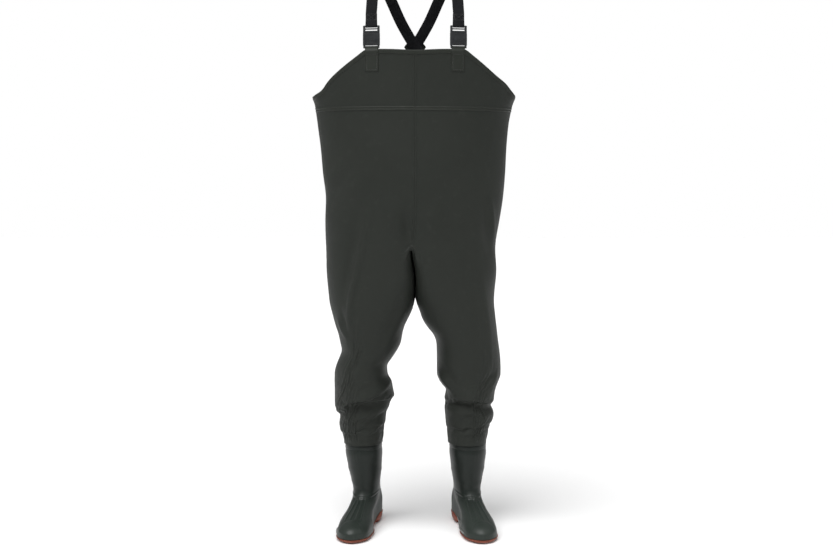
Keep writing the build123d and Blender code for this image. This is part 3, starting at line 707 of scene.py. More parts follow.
def drape(obj):
    """Lets the cloth buckle: its cut is longer than its room, most of all at the knees and ankles."""
    start = positions(obj)
    z = start[:, 2]
    knee, thigh = 0.10 * bump(z, 0.42, 0.07), 0.03 * bump(z, 0.66, 0.12)
    ankle = 0.16 * ramp(z, 0.37, 0.33) * ramp(z, 0.235, 0.26)
    extra = (0.02 + knee + ankle + thigh) * ramp(z, 1.05, 0.85)
    order = np.argsort(z)
    stretch = np.zeros_like(z)
    gaps = np.diff(z[order], prepend=z[order[0]])
    stretch[order] = np.cumsum(gaps * extra[order])
    cut = start.copy()
    cut[:, 2] += stretch
    obj.shape_key_add(name="Basis")
    key = obj.shape_key_add(name="cut")
    key.data.foreach_set("co", cut.ravel())
    key.value = 0
    hold = 0.34 + 0.30 * ramp(z, 0.75, 1.0) + 0.10 * ramp(z, 0.60, 0.75)
    hold = np.where(z > 1.12, 1.0, hold)
    hold = np.maximum(hold, ramp(z, 0.262, 0.240))
    group = obj.vertex_groups.new(name="hold")
    for level in np.unique(np.round(hold, 2)):
        group.add([int(i) for i in np.nonzero(np.round(hold, 2) == level)[0]], float(level), "REPLACE")
    cloth = obj.modifiers.new("Cloth", "CLOTH")
    settings = cloth.settings
    settings.quality = 6
    settings.mass = 0.25
    settings.tension_stiffness = 20
    settings.compression_stiffness = 20
    settings.shear_stiffness = 12
    settings.bending_stiffness = 2.5
    settings.tension_damping = settings.compression_damping = settings.shear_damping = 8
    settings.bending_damping = 1.0
    settings.air_damping = 2.0
    settings.vertex_group_mass = "hold"
    settings.pin_stiffness = 1.0
    settings.rest_shape_key = key
    settings.use_pressure = True
    settings.uniform_pressure_force = 0.6
    cloth.collision_settings.use_collision = False
    cloth.collision_settings.use_self_collision = True
    cloth.collision_settings.self_distance_min = 0.002
    scene = bpy.context.scene
    cloth.point_cache.frame_start, cloth.point_cache.frame_end = 1, DRAPE_FRAMES
    scene.frame_start, scene.frame_end = 1, DRAPE_FRAMES
    for number in range(1, DRAPE_FRAMES + 1):
        scene.frame_set(number)
    graph = bpy.context.evaluated_depsgraph_get()
    after = np.zeros(len(obj.data.vertices) * 3)
    obj.evaluated_get(graph).data.vertices.foreach_get("co", after)
    after = after.reshape(-1, 3)
    obj.modifiers.clear()
    obj.shape_key_clear()
    scene.frame_set(1)
    move = after - start
    size = np.linalg.norm(move, axis=1, keepdims=True)
    move *= np.minimum(1, DRAPE_REACH / np.maximum(size, 1e-9))
    obj.data.vertices.foreach_set("co", (start + move).ravel())
    obj.data.update()


drape(garment)

FINAL = positions(garment)
garment.modifiers.new("smooth", "SUBSURF").levels = 1
apply_modifiers(garment)
SURFACE = BVHTree.FromObject(garment, bpy.context.evaluated_depsgraph_get())


def on_cloth(point):
    """The nearest place on the cloth's outer face, and the way it looks."""
    place, normal, _, _ = SURFACE.find_nearest(Vector(point))
    return np.array(place), np.array(normal)


def resample(path, step, smooth=0):
    """A polyline cut into even steps."""
    path = np.array(path, float)
    for _ in range(smooth):
        path[1:-1] = (path[:-2] + 2 * path[1:-1] + path[2:]) / 4
    length = lengths(path)
    count = max(2, int(round(length[-1] / step)) + 1)
    return sample(path, length, np.linspace(0, length[-1], count))


def cloth_strip(name, path, profile, material, step=0.005, smooth=1):
    """A band welded along a path on the cloth; its profile is pairs of (distance across, height)."""
    path = resample(path, step, smooth)
    feet = [on_cloth(p) for p in path]
    normals = smoothed(unit(np.array([n for _, n in feet])), 2)
    across = unit(np.cross(normals, np.gradient(path, axis=0)))
    points, uv = [], []
    for i, p in enumerate(path):
        for w, h in profile:
            place, _ = on_cloth(p + across[i] * w)
            points.append(place + normals[i] * h)
            uv.append((w, i * step))
    cols = len(profile)
    faces = grid_faces(len(path), cols)
    return make_object(name, points, faces, material, uv=uv)


def grid_path(side, part, rows, cols):
    """Final places of one row or column of a grid."""
    return FINAL[IDS[side, part][rows, cols]]


SIDE_COL = int(np.argmin(np.abs(OUT - math.pi / 2)))
SEAM_ROW = BODY_ROWS
# Profiles of the bands: (distance across, height off the cloth).
BAND = [(-0.0060, -0.0006), (-0.0056, 0.0002), (-0.0046, 0.0008), (0, 0.0010), (0.0046, 0.0008),
        (0.0056, 0.0002), (0.0060, -0.0006)]
GROOVE = [(-0.0056, -0.0006), (-0.0052, 0.0003), (-0.0040, 0.0008), (-0.0016, 0.0008), (-0.0006, -0.0006),
          (0.0006, -0.0006), (0.0016, 0.0008), (0.0040, 0.0008), (0.0052, 0.0003), (0.0056, -0.0006)]
WELT = [(-0.0062, -0.0008), (-0.0058, 0.0004), (-0.0046, 0.0016), (-0.0030, 0.0019), (-0.0012, 0.0009),
        (0, 0.0006), (0.0012, 0.0010), (0.0028, 0.0018), (0.0042, 0.0014), (0.0052, 0.0004),
        (0.0056, -0.0008)]
INSIDE = [(-0.0100, -0.0012), (-0.0094, -0.0021), (0, -0.0023), (0.0094, -0.0021), (0.0100, -0.0012)]

for side, word in SIDES:
    row = grid_path(side, "body", SEAM_ROW, slice(0, SIDE_COL + 1))
    welt = cloth_strip(f"{word}_welt", row - (0, 0, 0.006), WELT if side > 0 else WELT[::-1], TRIM)
    settle(welt, "waders", "cloth_trim", f"{word}_chest_seam_welt")
    side_path = np.concatenate([grid_path(side, "leg", slice(2, LEG_ROWS), SIDE_COL),
                                grid_path(side, "body", slice(0, None), SIDE_COL)])
    seam = cloth_strip(f"{word}_side_seam", side_path, BAND, TRIM)
    settle(seam, "waders", "cloth_trim")
    inner_tape = cloth_strip(f"{word}_side_tape", side_path[6:-2], INSIDE, TAPE)
    settle(inner_tape, "waders", "seam_tape", f"{word}_side_seam_tape")
    middle = OUTER + INNER // 2  # the column at the inside of the leg
    inseam_path = grid_path(side, "leg", slice(2, LEG_ROWS + 1), middle)
    settle(cloth_strip(f"{word}_inseam", inseam_path, BAND, TRIM), "waders", "cloth_trim")
    settle(cloth_strip(f"{word}_inseam_tape", inseam_path[6:], INSIDE, TAPE), "waders", "seam_tape",
           f"{word}_inseam_tape")

for word, col in (("front", 0), ("back", -1)):
    path = grid_path(1, "body", slice(0, None), col)
    settle(cloth_strip(f"{word}_seam", path, GROOVE, CLOTH), "waders", "cloth")
    settle(cloth_strip(f"{word}_tape", path[2:-1], INSIDE, TAPE), "waders", "seam_tape",
           f"{word}_centre_seam_tape")


def hem(name, edge):
    """The folded edge of the cloth: a flat tube that wraps the top edge, inside and out."""
    outline = [(0.0112, -0.0004), (0.0106, 0.0009), (0.0092, 0.0015), (0.0060, 0.0013), (0.0016, 0.0017),
               (-0.0004, 0.0013), (-0.0012, -0.0004), (-0.0004, -0.0024), (0.0016, -0.0029),
               (0.0092, -0.0026), (0.0112, -0.0016)]
    step = 0.004
    edge = resample(edge, step, 1)
    tangent = unit(np.gradient(edge, axis=0))
    points, uv = [], []
    normals = smoothed(unit(np.array([on_cloth(p)[1] for p in edge])), 3)
    down = unit(np.cross(tangent, normals))
    down = down * np.sign(-down[:, 2:3])
    for i, p in enumerate(edge):
        for d, h in outline:
            base = on_cloth(p + down[i] * max(d, 0))[0] if d > 0 else p + down[i] * d
            points.append(base + normals[i] * h)
            uv.append((d, i * step))
    return make_object(name, points, grid_faces(len(edge), len(outline), closed=True), TRIM, uv=uv)


for side, word in SIDES:
    front_edge = grid_path(side, "body", -1, slice(0, SIDE_COL + 1))
    back_edge = grid_path(side, "body", -1, slice(SIDE_COL, None))
    settle(hem(f"{word}_front_hem", front_edge), "waders", "cloth_trim", f"{word}_bib_hem")
    settle(hem(f"{word}_rear_hem", back_edge), "waders", "cloth_trim", f"{word}_back_hem")

solid = garment.modifiers.new("thickness", "SOLIDIFY")
solid.thickness = 0.0013
solid.offset = -1
apply_modifiers(garment)
garment.data.polygons.foreach_set("use_smooth", [True] * len(garment.data.polygons))
settle(garment, "waders", "cloth",
       *[f"{word}_{panel}_panel" for _, word in SIDES for panel in ("front", "bib", "back")])


# ---------------------------------------------------------------- boots
# The left boot in its own frame, toe towards -y: height, back and front reach, and half widths at SHARES of
# the way from back to front.
BOOT_SLICES = spline([
    (0.000, 0.066, -0.2345, 0.029, 0.033, 0.0465, 0.032),
    (0.010, 0.068, -0.2380, 0.031, 0.035, 0.0480, 0.0335),
    (0.022, 0.069, -0.2380, 0.032, 0.036, 0.0480, 0.0335),
    (0.034, 0.069, -0.2290, 0.0325, 0.0360, 0.0455, 0.0310),
    (0.044, 0.068, -0.2100, 0.0320, 0.0360, 0.0405, 0.0262),
    (0.054, 0.066, -0.1680, 0.0315, 0.0352, 0.0355, 0.0235),
    (0.064, 0.064, -0.1200, 0.0300, 0.0345, 0.0335, 0.0220),
    (0.075, 0.061, -0.0830, 0.0275, 0.0338, 0.0322, 0.0208),
    (0.088, 0.058, -0.0690, 0.0250, 0.0335, 0.0315, 0.0200),
    (0.107, 0.056, -0.0630, 0.0240, 0.0355, 0.0332, 0.0205),
    (0.129, 0.055, -0.0640, 0.0250, 0.0392, 0.0368, 0.0222),
    (0.151, 0.055, -0.0670, 0.0265, 0.0430, 0.0405, 0.0240),
    (0.175, 0.056, -0.0700, 0.0280, 0.0460, 0.0432, 0.0256),
    (0.200, 0.058, -0.0735, 0.0300, 0.0486, 0.0458, 0.0270),
    (0.220, 0.057, -0.0710, 0.0296, 0.0472, 0.0445, 0.0262),
    (0.262, 0.056, -0.0680, 0.0290, 0.0460, 0.0435, 0.0256),
])
SHARES = np.array((0.1, 0.4, 0.7, 0.92))
BOOT_COLS = 216
TOE_LEAN = 0.007
HEEL_HEIGHT = 0.027
INSOLE_LIFT, KNIT_DEPTHS = 0.003, (0.0002, 0.0014)
BOOT_WALL, BOOT_TOP = 0.003, 0.262


def sole_top(y):
    """Height of the welt along the boot."""
    return np.interp(y, [-0.250, -0.185, -0.056, -0.004], [0.0105, 0.0090, 0.0110, HEEL_HEIGHT])


def sole_bottom(y):
    """Height of the sole's underside along the boot: toe spring, flat tread, arch and heel."""
    return np.interp(y, [-0.250, -0.190, -0.063, -0.052, -0.017, -0.012],
                     [0.0032, 0.003, 0.003, 0.007, 0.011, 0.003])


def boot_outline(z, angle, grow=0.0):
    """Points of the boot's outline at height z: angle 0 is the back, pi the toe, and the rest inside."""
    row = BOOT_SLICES(z)
    back, front = row[..., 0] + grow, row[..., 1] - grow
    widths = row[..., 2:] + grow
    share = (1 - np.cos(angle)) / 2
    knots = np.arccos(1 - 2 * SHARES)
    fold = np.where(angle > math.pi, 2 * math.pi - angle, angle)
    ratio = widths / np.sin(knots)
    at = np.clip(fold, knots[0], knots[-1])
    i = np.clip(np.searchsorted(knots, at, side="right") - 1, 0, len(knots) - 2)
    t = (at - knots[i]) / (knots[i + 1] - knots[i])
    t = t * t * (3 - 2 * t)
    low = np.take_along_axis(ratio, i[..., None], -1)[..., 0]
    high = np.take_along_axis(ratio, i[..., None] + 1, -1)[..., 0]
    waist = 0.16 * bump(share, 0.50, 0.20) * ramp(z, 0.075, 0.040) * (angle > math.pi)
    width = (low + (high - low) * t) * np.sin(angle) * (1 - waist)
    lean = TOE_LEAN * np.clip((-front - 0.08) / 0.15, 0, 1)
    return np.stack([width - lean * share ** 2, back - share * (back - front), z + 0 * width], -1)


def boot_to_world(points, side):
    """From the boot's own frame to its place on the floor."""
    c, s = math.cos(TOE_OUT), math.sin(TOE_OUT)
    x, y, z = np.moveaxis(np.asarray(points, float), -1, 0)
    across, back = BOOT_AT[side]
    across = across + SHAFT_LEAN[side] * np.maximum(z - 0.09, 0)
    return np.stack([side * (across + x * c - y * s), back + x * s + y * c, z], -1)


def boot_points(inset=0.0, foot=0.0, ribs=True):
    """The upper's surface as rows of points, from the welt to the top of the shaft."""
    levels = np.concatenate([np.linspace(0.0, 0.036, 12)[:-1], np.linspace(0.036, 0.100, 66)[:-1],
                             np.linspace(0.100, BOOT_TOP, 40)])
    angle = np.linspace(0, 2 * math.pi, BOOT_COLS, endpoint=False)
    z = levels[:, None] + 0 * angle[None, :]
    points = boot_outline(z, angle[None, :] + 0 * z, -inset)
    for _ in range(3):
        low = sole_top(points[..., 1]) + foot
        z = low + (BOOT_TOP - low) * levels[:, None] / BOOT_TOP
        points = boot_outline(z, angle[None, :] + 0 * z, -inset)
    if not ribs:
        return points
    normals = -grid_normals(points, True)
    x, y, z = np.moveaxis(points, -1, 0)
    fan = np.clip((-y - 0.055) / 0.13, 0, 1)
    lift = np.zeros_like(x)
    vamp = ramp(-y, 0.066, 0.084) * ramp(-y, 0.190, 0.170) * ramp(z, 0.034, 0.044)
    centre = -0.5 * TOE_LEAN * fan
    for k in (-1.5, -0.5, 0.5, 1.5):
        lift += 0.0021 * vamp * bump(x, centre + k * (0.0085 + 0.0065 * fan), 0.0022)
    # The band across the ankle, the toe cap's edge, the heel counter and the soft creases of the shaft.
    lift += 0.0015 * bump(z, 0.0850 + 0.10 * (y + 0.06), 0.0022) * ramp(-y, -0.030, 0.0)
    lift -= 0.0011 * bump(z, 0.0800 + 0.10 * (y + 0.06), 0.0022) * ramp(-y, -0.030, 0.0)
    cap = -0.188 - 0.9 * (x - centre) ** 2 / 0.045
    lift += 0.0011 * ramp(-(y - cap), -0.002, 0.001) * ramp(z, 0.018, 0.030)
    counter = ramp(y, 0.012 + 0.5 * (z - 0.05), 0.016 + 0.5 * (z - 0.05)) * ramp(z, 0.088, 0.084)
    lift += 0.0007 * counter
    for level, tilt, height in ((0.128, 0.22, 0.0011), (0.150, -0.15, 0.0009), (0.182, 0.12, 0.0007)):
        around = 0.5 - 0.5 * np.sin(2 * angle[None, :] + level * 90)
        lift += height * bump(z, level + tilt * y, 0.006) * around
    lift += 0.0012 * ramp(z, 0.021, 0.0165) * ramp(z, 0.0, 0.004)
    return points + normals * lift[..., None]


def ring_shell(name, outer, inner, material, side):
    """A wall between two grids that share their rows and columns, closed at its top and bottom rims."""
    rows, cols = outer.shape[:2]
    stack = np.concatenate([outer, inner[::-1]])
    points = boot_to_world(stack.reshape(-1, 3), side)
    faces = grid_faces(2 * rows, cols, closed=True, closed_rows=True)
    return make_object(name, points, facing_out(faces, side), material)


def outsole(name, side):
    """The outsole: a moulded wall with a welt, a groove and a foxing line, a plate below, and tread lugs."""
    angle = np.linspace(0, 2 * math.pi, BOOT_COLS, endpoint=False)
    base = boot_outline(0 * angle, angle)
    top, bottom = sole_top(base[:, 1]), sole_bottom(base[:, 1])
    rise = boot_outline(top, angle)
    # Profile of the wall: share of its height, and distance out from the upper.
    wall = [(1.03, -0.0050), (1.03, 0.0002), (1.02, 0.0018), (0.97, 0.0028), (0.90, 0.0030), (0.83, 0.0026),
            (0.80, 0.0014), (0.76, 0.0013), (0.73, 0.0024), (0.55, 0.0028), (0.30, 0.0024), (0.12, 0.0016),
            (0.03, 0.0004), (0.0, -0.0016), (0.0, -0.0080), (0.0, -0.0200)]
    rows = []
    for share, out in wall:
        z = bottom + (top - bottom) * share
        line = base + (rise - base) * np.clip(share, 0, 1)
        along = np.roll(line, -1, 0) - np.roll(line, 1, 0)
        away = unit(np.stack([-along[:, 1], along[:, 0], 0 * z], -1))
        edge = line + away * out
        rib = 0.0005 * np.sin(angle * 90) * bump(share, 0.42, 0.13)
        edge = edge + away * rib[:, None]
        edge[:, 2] = z
        rows.append(edge)
    points = np.array(rows)
    flat = list(points.reshape(-1, 3))
    faces = grid_faces(len(rows), BOOT_COLS, closed=True)
    # The plate and the bed inside close the two rims along the boot, side to side.
    half = BOOT_COLS // 2
    for row, flip in ((len(rows) - 1, False), (0, True)):
        for k in range(half):
            loop = (k, k + 1, (BOOT_COLS - k - 1) % BOOT_COLS, (BOOT_COLS - k) % BOOT_COLS)
            quad = [row * BOOT_COLS + column for column in (loop if flip else loop[::-1])]
            quad = list(dict.fromkeys(quad))
            if len(quad) > 2:
                faces.append(tuple(quad))

    def lug(y_from, y_to, inner_share, outer_share, sweep):
        """One tread block, between two shares of the half width, swept back towards its outer end."""
        corners = []
        for y, x_share in ((y_from, inner_share), (y_from, outer_share), (y_to, outer_share),
                           (y_to, inner_share)):
            y = y + sweep * abs(x_share)
            side_points = base[: half + 1] if x_share > 0 else base[half:][::-1]
            order = np.argsort(side_points[:, 1])
            edge = np.interp(y, side_points[order, 1], side_points[order, 0])
            corners.append((edge * abs(x_share), y))
        level = float(sole_bottom((y_from + y_to) / 2))
        start = len(flat)
        middle = np.mean(corners, axis=0)
        for z, scale in ((level + 0.0012, 1.0), (level - 0.0022, 1.0), (level - 0.0030, 0.90)):
            for corner in corners:
                place = middle + (np.array(corner) - middle) * scale
                flat.append(np.array((place[0], place[1], z)))
        for level_row in (0, 4):
            for k in range(4):
                n = (k + 1) % 4
                a, b = start + level_row + k, start + level_row + n
                faces.append((a, b, b + 4, a + 4))
        faces.append((start + 8, start + 9, start + 10, start + 11))

    for y in np.arange(-0.206, -0.068, 0.0135):
        for low, high in ((0.08, 0.55), (0.60, 0.95)):
            lug(y, y + 0.0085, low, high, 0.008)
            lug(y, y + 0.0085, -low, -high, 0.008)
    for y in np.arange(-0.010, 0.046, 0.0135):
        lug(y, y + 0.0085, 0.08, 0.93, 0.004)
        lug(y, y + 0.0085, -0.08, -0.93, 0.004)
    obj = make_object(name, boot_to_world(np.array(flat), side), facing_out(faces, side), SOLE)
    face_outwards(obj)
    obj.data.set_sharp_from_angle(angle=math.radians(38))
    return obj


def build_boot(side, word):
    """A boot: its upper, its knitted lining, its outsole, and the band at the trouser leg's cuff."""
    inner = boot_points(BOOT_WALL, INSOLE_LIFT, ribs=False)
    upper = ring_shell(f"{word}_boot", boot_points(), inner, BOOT, side)
    settle(upper, "waders", "boot", f"{word}_boot_upper")
    faces_of_knit = [boot_points(BOOT_WALL + depth, INSOLE_LIFT, ribs=False)[10:-2] for depth in KNIT_DEPTHS]
    lining = ring_shell(f"{word}_boot_knit", *faces_of_knit, LINING, side)
    settle(lining, "waders", "lining", f"{word}_boot_lining")
    settle(outsole(f"{word}_tread", side), "waders", "sole", f"{word}_outsole")
    # The welded band at the cuff: a soft bead round the shaft that the cloth runs into.
    angle = np.linspace(0, 2 * math.pi, BOOT_COLS, endpoint=False)
    profile = [(0.2120, -0.0010), (0.2125, 0.0005), (0.2140, 0.0011), (0.2230, 0.0012), (0.2270, 0.0006),
               (0.2320, -0.0012)]
    rows = [boot_outline(z + 0.0010 * np.sin(3 * angle + side), angle, out) for z, out in profile]
    points = boot_to_world(np.array(rows).reshape(-1, 3), side)
    faces = facing_out(grid_faces(len(rows), BOOT_COLS, closed=True, closed_rows=True), side)
    band = make_object(f"{word}_boot_band", points, faces, BOOT)
    settle(band, "waders", "boot", f"{word}_boot_joint_band")
    bed = NODES[f"{word}_insole"]
    bed.data.materials.clear()
    bed.data.materials.append(LINING)


for side, word in SIDES:
    build_boot(side, word)


# ---------------------------------------------------------------- stitches
def stitches(name, paths, normals, pitch=0.0034, stitch=0.0025, radius=0.00042):
    """Rows of sewn thread: each path is a list of points on a surface, with the way that surface faces."""
    points, faces = [], []
    for path, facing in zip(paths, normals):
        path = np.asarray(path, float)
        facing = np.broadcast_to(np.asarray(facing, float), path.shape)
        length = lengths(path)
        for at in np.arange(pitch / 2, length[-1], pitch):
            centre = sample(path, length, at)
            near = [np.clip(at + way, 0, length[-1]) for way in (0.001, -0.001)]
            ahead, behind = (sample(path, length, spot) for spot in near)
            up = unit(sample(facing, length, at))
            along = unit(ahead - behind)
            across = unit(np.cross(along, up))
            start = len(points)
            for t, size, drop in ((-0.5, 0.35, 0.9), (-0.32, 1.0, 0.15), (0.32, 1.0, 0.15), (0.5, 0.35, 0.9)):
                for k in range(6):
                    turn = k * math.pi / 3
                    sideways, upwards = math.cos(turn) * size, math.sin(turn) * size - drop
                    offset = (across * sideways + up * upwards) * radius
                    points.append(centre + along * t * stitch + offset)
            for ring_number in range(3):
                for k in range(6):
                    a, b = start + ring_number * 6 + k, start + ring_number * 6 + (k + 1) % 6
                    faces.append((a, b, b + 6, a + 6))
            faces.append(tuple(start + k for k in range(5, -1, -1)))
            faces.append(tuple(start + 18 + k for k in range(6)))
    return make_object(name, points, faces, THREAD)


# ---------------------------------------------------------------- buckles and braces
BAR_AT, BUCKLE_YAW = np.array((0.111724, -0.133535, 1.288)), math.radians(14.5)
BAR_RADIUS, TOP_BAR = 0.0020, 0.054
WEBBING_WIDTH, WEBBING_THICK = 0.0300, 0.0016


def buckle_to_world(points, side):
    """From the left buckle's own frame (x across, -y to the front, z up from the tab's bar) to its place."""
    c, s = math.cos(BUCKLE_YAW), math.sin(BUCKLE_YAW)
    x, y, z = np.moveaxis(np.asarray(points, float), -1, 0)
    return np.stack([side * (BAR_AT[0] + x * c - y * s), BAR_AT[1] + x * s + y * c, BAR_AT[2] + z], -1)


def rounded_bar(size, centre, edge, side):
    """A bar with rolled edges in the buckle's frame, as (points, faces)."""
    mesh = bmesh.new()
    bmesh.ops.create_cube(mesh, size=1)
    bmesh.ops.scale(mesh, vec=size, verts=mesh.verts)
    bmesh.ops.bevel(mesh, geom=mesh.edges[:], offset=edge, segments=2, affect="EDGES", profile=0.6)
    mesh.verts.index_update()
    points = buckle_to_world([tuple(v.co + Vector(centre)) for v in mesh.verts], side)
    faces = [tuple(v.index for v in (f.verts if side > 0 else reversed(f.verts))) for f in mesh.faces]
    mesh.free()
    return points, faces


def moulded(name, body, side, details, edge=0.00055):
    """A buckle part: the CAD shape with rolled edges, and its moulded details."""
    source = NODES[name]
    mesh = bmesh.new()
    mesh.from_mesh(source.data)
    bmesh.ops.remove_doubles(mesh, verts=mesh.verts, dist=1e-6)
    bmesh.ops.dissolve_limit(mesh, angle_limit=math.radians(2), verts=mesh.verts, edges=mesh.edges)
    sharp = [e for e in mesh.edges if len(e.link_faces) == 2 and e.calc_face_angle(0) > math.radians(50)]
    bmesh.ops.bevel(mesh, geom=sharp, offset=edge, segments=2, affect="EDGES", profile=0.6,
                    clamp_overlap=True)
    data = bpy.data.meshes.new(name)
    mesh.to_mesh(data)
    mesh.free()
    obj = bpy.data.objects.new(f"{name}_moulding", data)
    bpy.context.scene.collection.objects.link(obj)
    data.materials.append(PLASTIC)
    extra = [obj]
    for size, centre, roll in details:
        points, faces = rounded_bar(size, centre, roll, side)
        extra.append(make_object("detail", points, faces, PLASTIC))
    obj = join(f"{name}_moulding", extra)
    obj.data.polygons.foreach_set("use_smooth", [True] * len(obj.data.polygons))
    obj.data.set_sharp_from_angle(angle=math.radians(42))
    return settle(obj, body, "buckle", name)


FACE = -0.0050  # the buckle's front face
SOCKET_DETAILS = (
    [((0.0200, 0.0012, 0.0011), (0, FACE, z), 0.0004) for z in (0.0120, 0.0160, 0.0200)]
    + [((0.0310, 0.0010, 0.0012), (0, FACE, z), 0.0004) for z in (0.0078, 0.0332)]
    + [((0.0012, 0.0010, 0.0242), (x, FACE, 0.0205), 0.0004) for x in (-0.0155, 0.0155)]
    + [((0.0200, 0.0012, 0.0011), (0, -FACE, z), 0.0004) for z in (0.0105, 0.0165, 0.0225)]
)
PLUG_DETAILS = (
    [((0.0330, 0.0010, 0.0009), (0, FACE + 0.0002, z), 0.0003) for z in (0.0379, 0.0404)]
    + [((0.0330, 0.0010, 0.0009), (0, -FACE - 0.0002, z), 0.0003) for z in (0.0379, 0.0404)]
    + [((0.0020, 0.0012, 0.0032), (x, -0.0020, 0.0470), 0.0004) for x in (-0.012, -0.006, 0, 0.006, 0.012)]
)

for side, word in SIDES:
    moulded(f"{word}_buckle_socket", "waders", side, SOCKET_DETAILS)
    moulded(f"{word}_buckle_plug", f"{word}_plug", side, PLUG_DETAILS)
    for place, sign in (("outer", 1), ("inner", -1)):
        ribs = [((0.0010, 0.0040, 0.0009), (sign * 0.0219, 0, z), 0.0003)
                for z in (0.0160, 0.0185, 0.0210)]
        moulded(f"{word}_{place}_prong", f"{word}_{place}_prong", side, ribs, 0.0003)

# The brace, from above its buckle, over the shoulder and across the back: places, and the way the face looks.
BRACE_ROUTE = [
    ((0.1110, -0.1300, 1.3880), (0.22, -0.96, 0.15)), ((0.1080, -0.1100, 1.4340), (0.15, -0.8, 0.55)),
    ((0.1030, -0.0700, 1.4690), (0.1, -0.45, 0.9)), ((0.0960, -0.0150, 1.4830), (0.05, 0, 1)),
    ((0.0830, 0.0420, 1.4690), (0.1, 0.5, 0.85)), ((0.0630, 0.0920, 1.4280), (0.15, 0.8, 0.55)),
    ((0.0360, 0.1290, 1.3720), (0.1, 0.93, 0.3)), ((0.0, 0.1512, 1.3120), (0, 1, 0.2)),
    ((-0.0300, 0.1535, 1.2640), (-0.05, 1, 0.05)), ((-0.0520, 0.1500, 1.2230), (-0.13, 0.99, 0)),
    ((-0.0680, 0.1485, 1.1860), (-0.15, 0.99, 0))]
CROSSING, LIFT = (6, 7, 8), 0.0015  # the places where one brace lies over the other, and by how much


def ribbon(name, path, facing, width, thick, step):
    """A flat woven band with rolled edges along a path. Returns it, and its ways across and up."""
    half, roll = width / 2, thick / 2
    section = [(-half + roll, roll), (-half * 0.5, roll * 0.92), (0, roll), (half * 0.5, roll * 0.92),
               (half - roll, roll), (half - 0.3 * roll, 0.7 * roll), (half, 0),
               (half - 0.3 * roll, -0.7 * roll),
               (half - roll, -roll), (0, -roll), (-half + roll, -roll), (-half + 0.3 * roll, -0.7 * roll),
               (-half, 0), (-half + 0.3 * roll, 0.7 * roll)]
    tangent = unit(np.gradient(path, axis=0))
    across = unit(np.cross(tangent, facing))
    up = unit(np.cross(across, tangent))
    points, uv = [], []
    for i, p in enumerate(path):
        for w, h in section:
            points.append(p + across[i] * w + up[i] * h)
            uv.append((w, i * step))
    cols = len(section)
    faces = grid_faces(len(path), cols, closed=True)
    faces.append(tuple(range(cols)))
    faces.append(tuple((len(path) - 1) * cols + k for k in range(cols - 1, -1, -1)))
    return make_object(name, points, faces, WEBBING, uv=uv), across, up


def curve_through(points, values, step):
    """A smooth curve through points, cut into even steps, with values carried along it."""
    points, values = np.array(points, float), np.array(values, float)
    chord = np.concatenate([[0], np.cumsum(np.sqrt(np.linalg.norm(np.diff(points, axis=0), axis=1)))])
    both = np.concatenate([points, values], 1)
    slope = np.gradient(both, chord, axis=0)
    fine = np.linspace(0, chord[-1], 1200)
    i = np.clip(np.searchsorted(chord, fine, side="right") - 1, 0, len(chord) - 2)
    h = (chord[i + 1] - chord[i])[:, None]
    t = (fine - chord[i])[:, None] / h
    curve = hermite(both, slope, i, h, t)
    length = lengths(curve[:, :3])
    out = sample(curve, length, np.linspace(0, length[-1], int(length[-1] / step) + 1))
    return out[:, :3], unit(out[:, 3:6])


def build_brace(side, word):
    """One brace: its tail, the turn round the plug's top bar, and the run to the other side's patch."""
    bend = BAR_RADIUS + 0.0003 + WEBBING_THICK / 2
    local, facing = [], []
    for y, z in ((0.0012, 0.0860), (0.0013, 0.0740), (0.0022, 0.0640), (bend, 0.0570)):
        local.append((0, y, z))
        facing.append((0, 1, 0))
    for turn in np.linspace(0, math.pi, 7):
        local.append((0, bend * math.cos(turn), TOP_BAR - bend * math.sin(turn)))
        facing.append((0, math.cos(turn), -math.sin(turn)))
    for y, z in ((-bend, 0.0570), (-0.0020, 0.0650), (-0.0008, 0.0740), (-0.0006, 0.0860)):
        local.append((0, y, z))
        facing.append((0, -1, 0))
    points = list(buckle_to_world(local, side))
    c, s = math.cos(BUCKLE_YAW), math.sin(BUCKLE_YAW)
    looks = [np.array((side * -f[1] * s, f[1] * c, f[2])) for f in facing]
    for number, (place, look) in enumerate(BRACE_ROUTE):
        lift = (LIFT if side > 0 else -LIFT) if number in CROSSING else 0
        points.append(np.array((side * place[0], place[1] + lift, place[2])))
        looks.append(np.array((side * look[0], look[1], look[2])))
    step = 0.0025
    path, up = curve_through(points, looks, step)
    strap, across, face = ribbon(f"{word}_webbing", path, up, WEBBING_WIDTH, WEBBING_THICK, step)
    sewn, ways = [], []

    def box(one_end, other_end, lift):
        """A sewn box with a cross in it, between two places on the webbing."""
        near, far = sorted(np.linalg.norm(path - end, axis=1).argmin() for end in (one_end, other_end))
        w = WEBBING_WIDTH / 2 - 0.0035
        run = np.arange(near, far + 1)
        for sign in (-1, 1):
            sewn.append(path[run] + across[run] * sign * w + face[run] * lift)
            ways.append(face[run])
        for row in (near, far):
            sewn.append(np.array([path[row] + across[row] * k * w + face[row] * lift for k in (-1, 1)]))
            ways.append(face[row])
        for sign in (-1, 1):
            share = np.linspace(-1, 1, len(run))[:, None]
            sewn.append(path[run] + across[run] * share * sign * w + face[run] * lift)
            ways.append(face[run])

    top = WEBBING_THICK / 2 + 0.0002
    box(buckle_to_world((0, -0.0009, 0.070), side), buckle_to_world((0, -0.0006, 0.084), side), top)
    box(np.array((-side * 0.0530, 0.150, 1.2180)), np.array((-side * 0.0675, 0.1485, 1.1880)), top)
    thread = stitches(f"{word}_webbing_thread", sewn, ways)
    whole = join(f"{word}_webbing", [strap, thread])
    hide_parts(f"{word}_brace", f"{word}_webbing_end")
    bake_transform(whole)


for side, word in SIDES:
    build_brace(side, word)


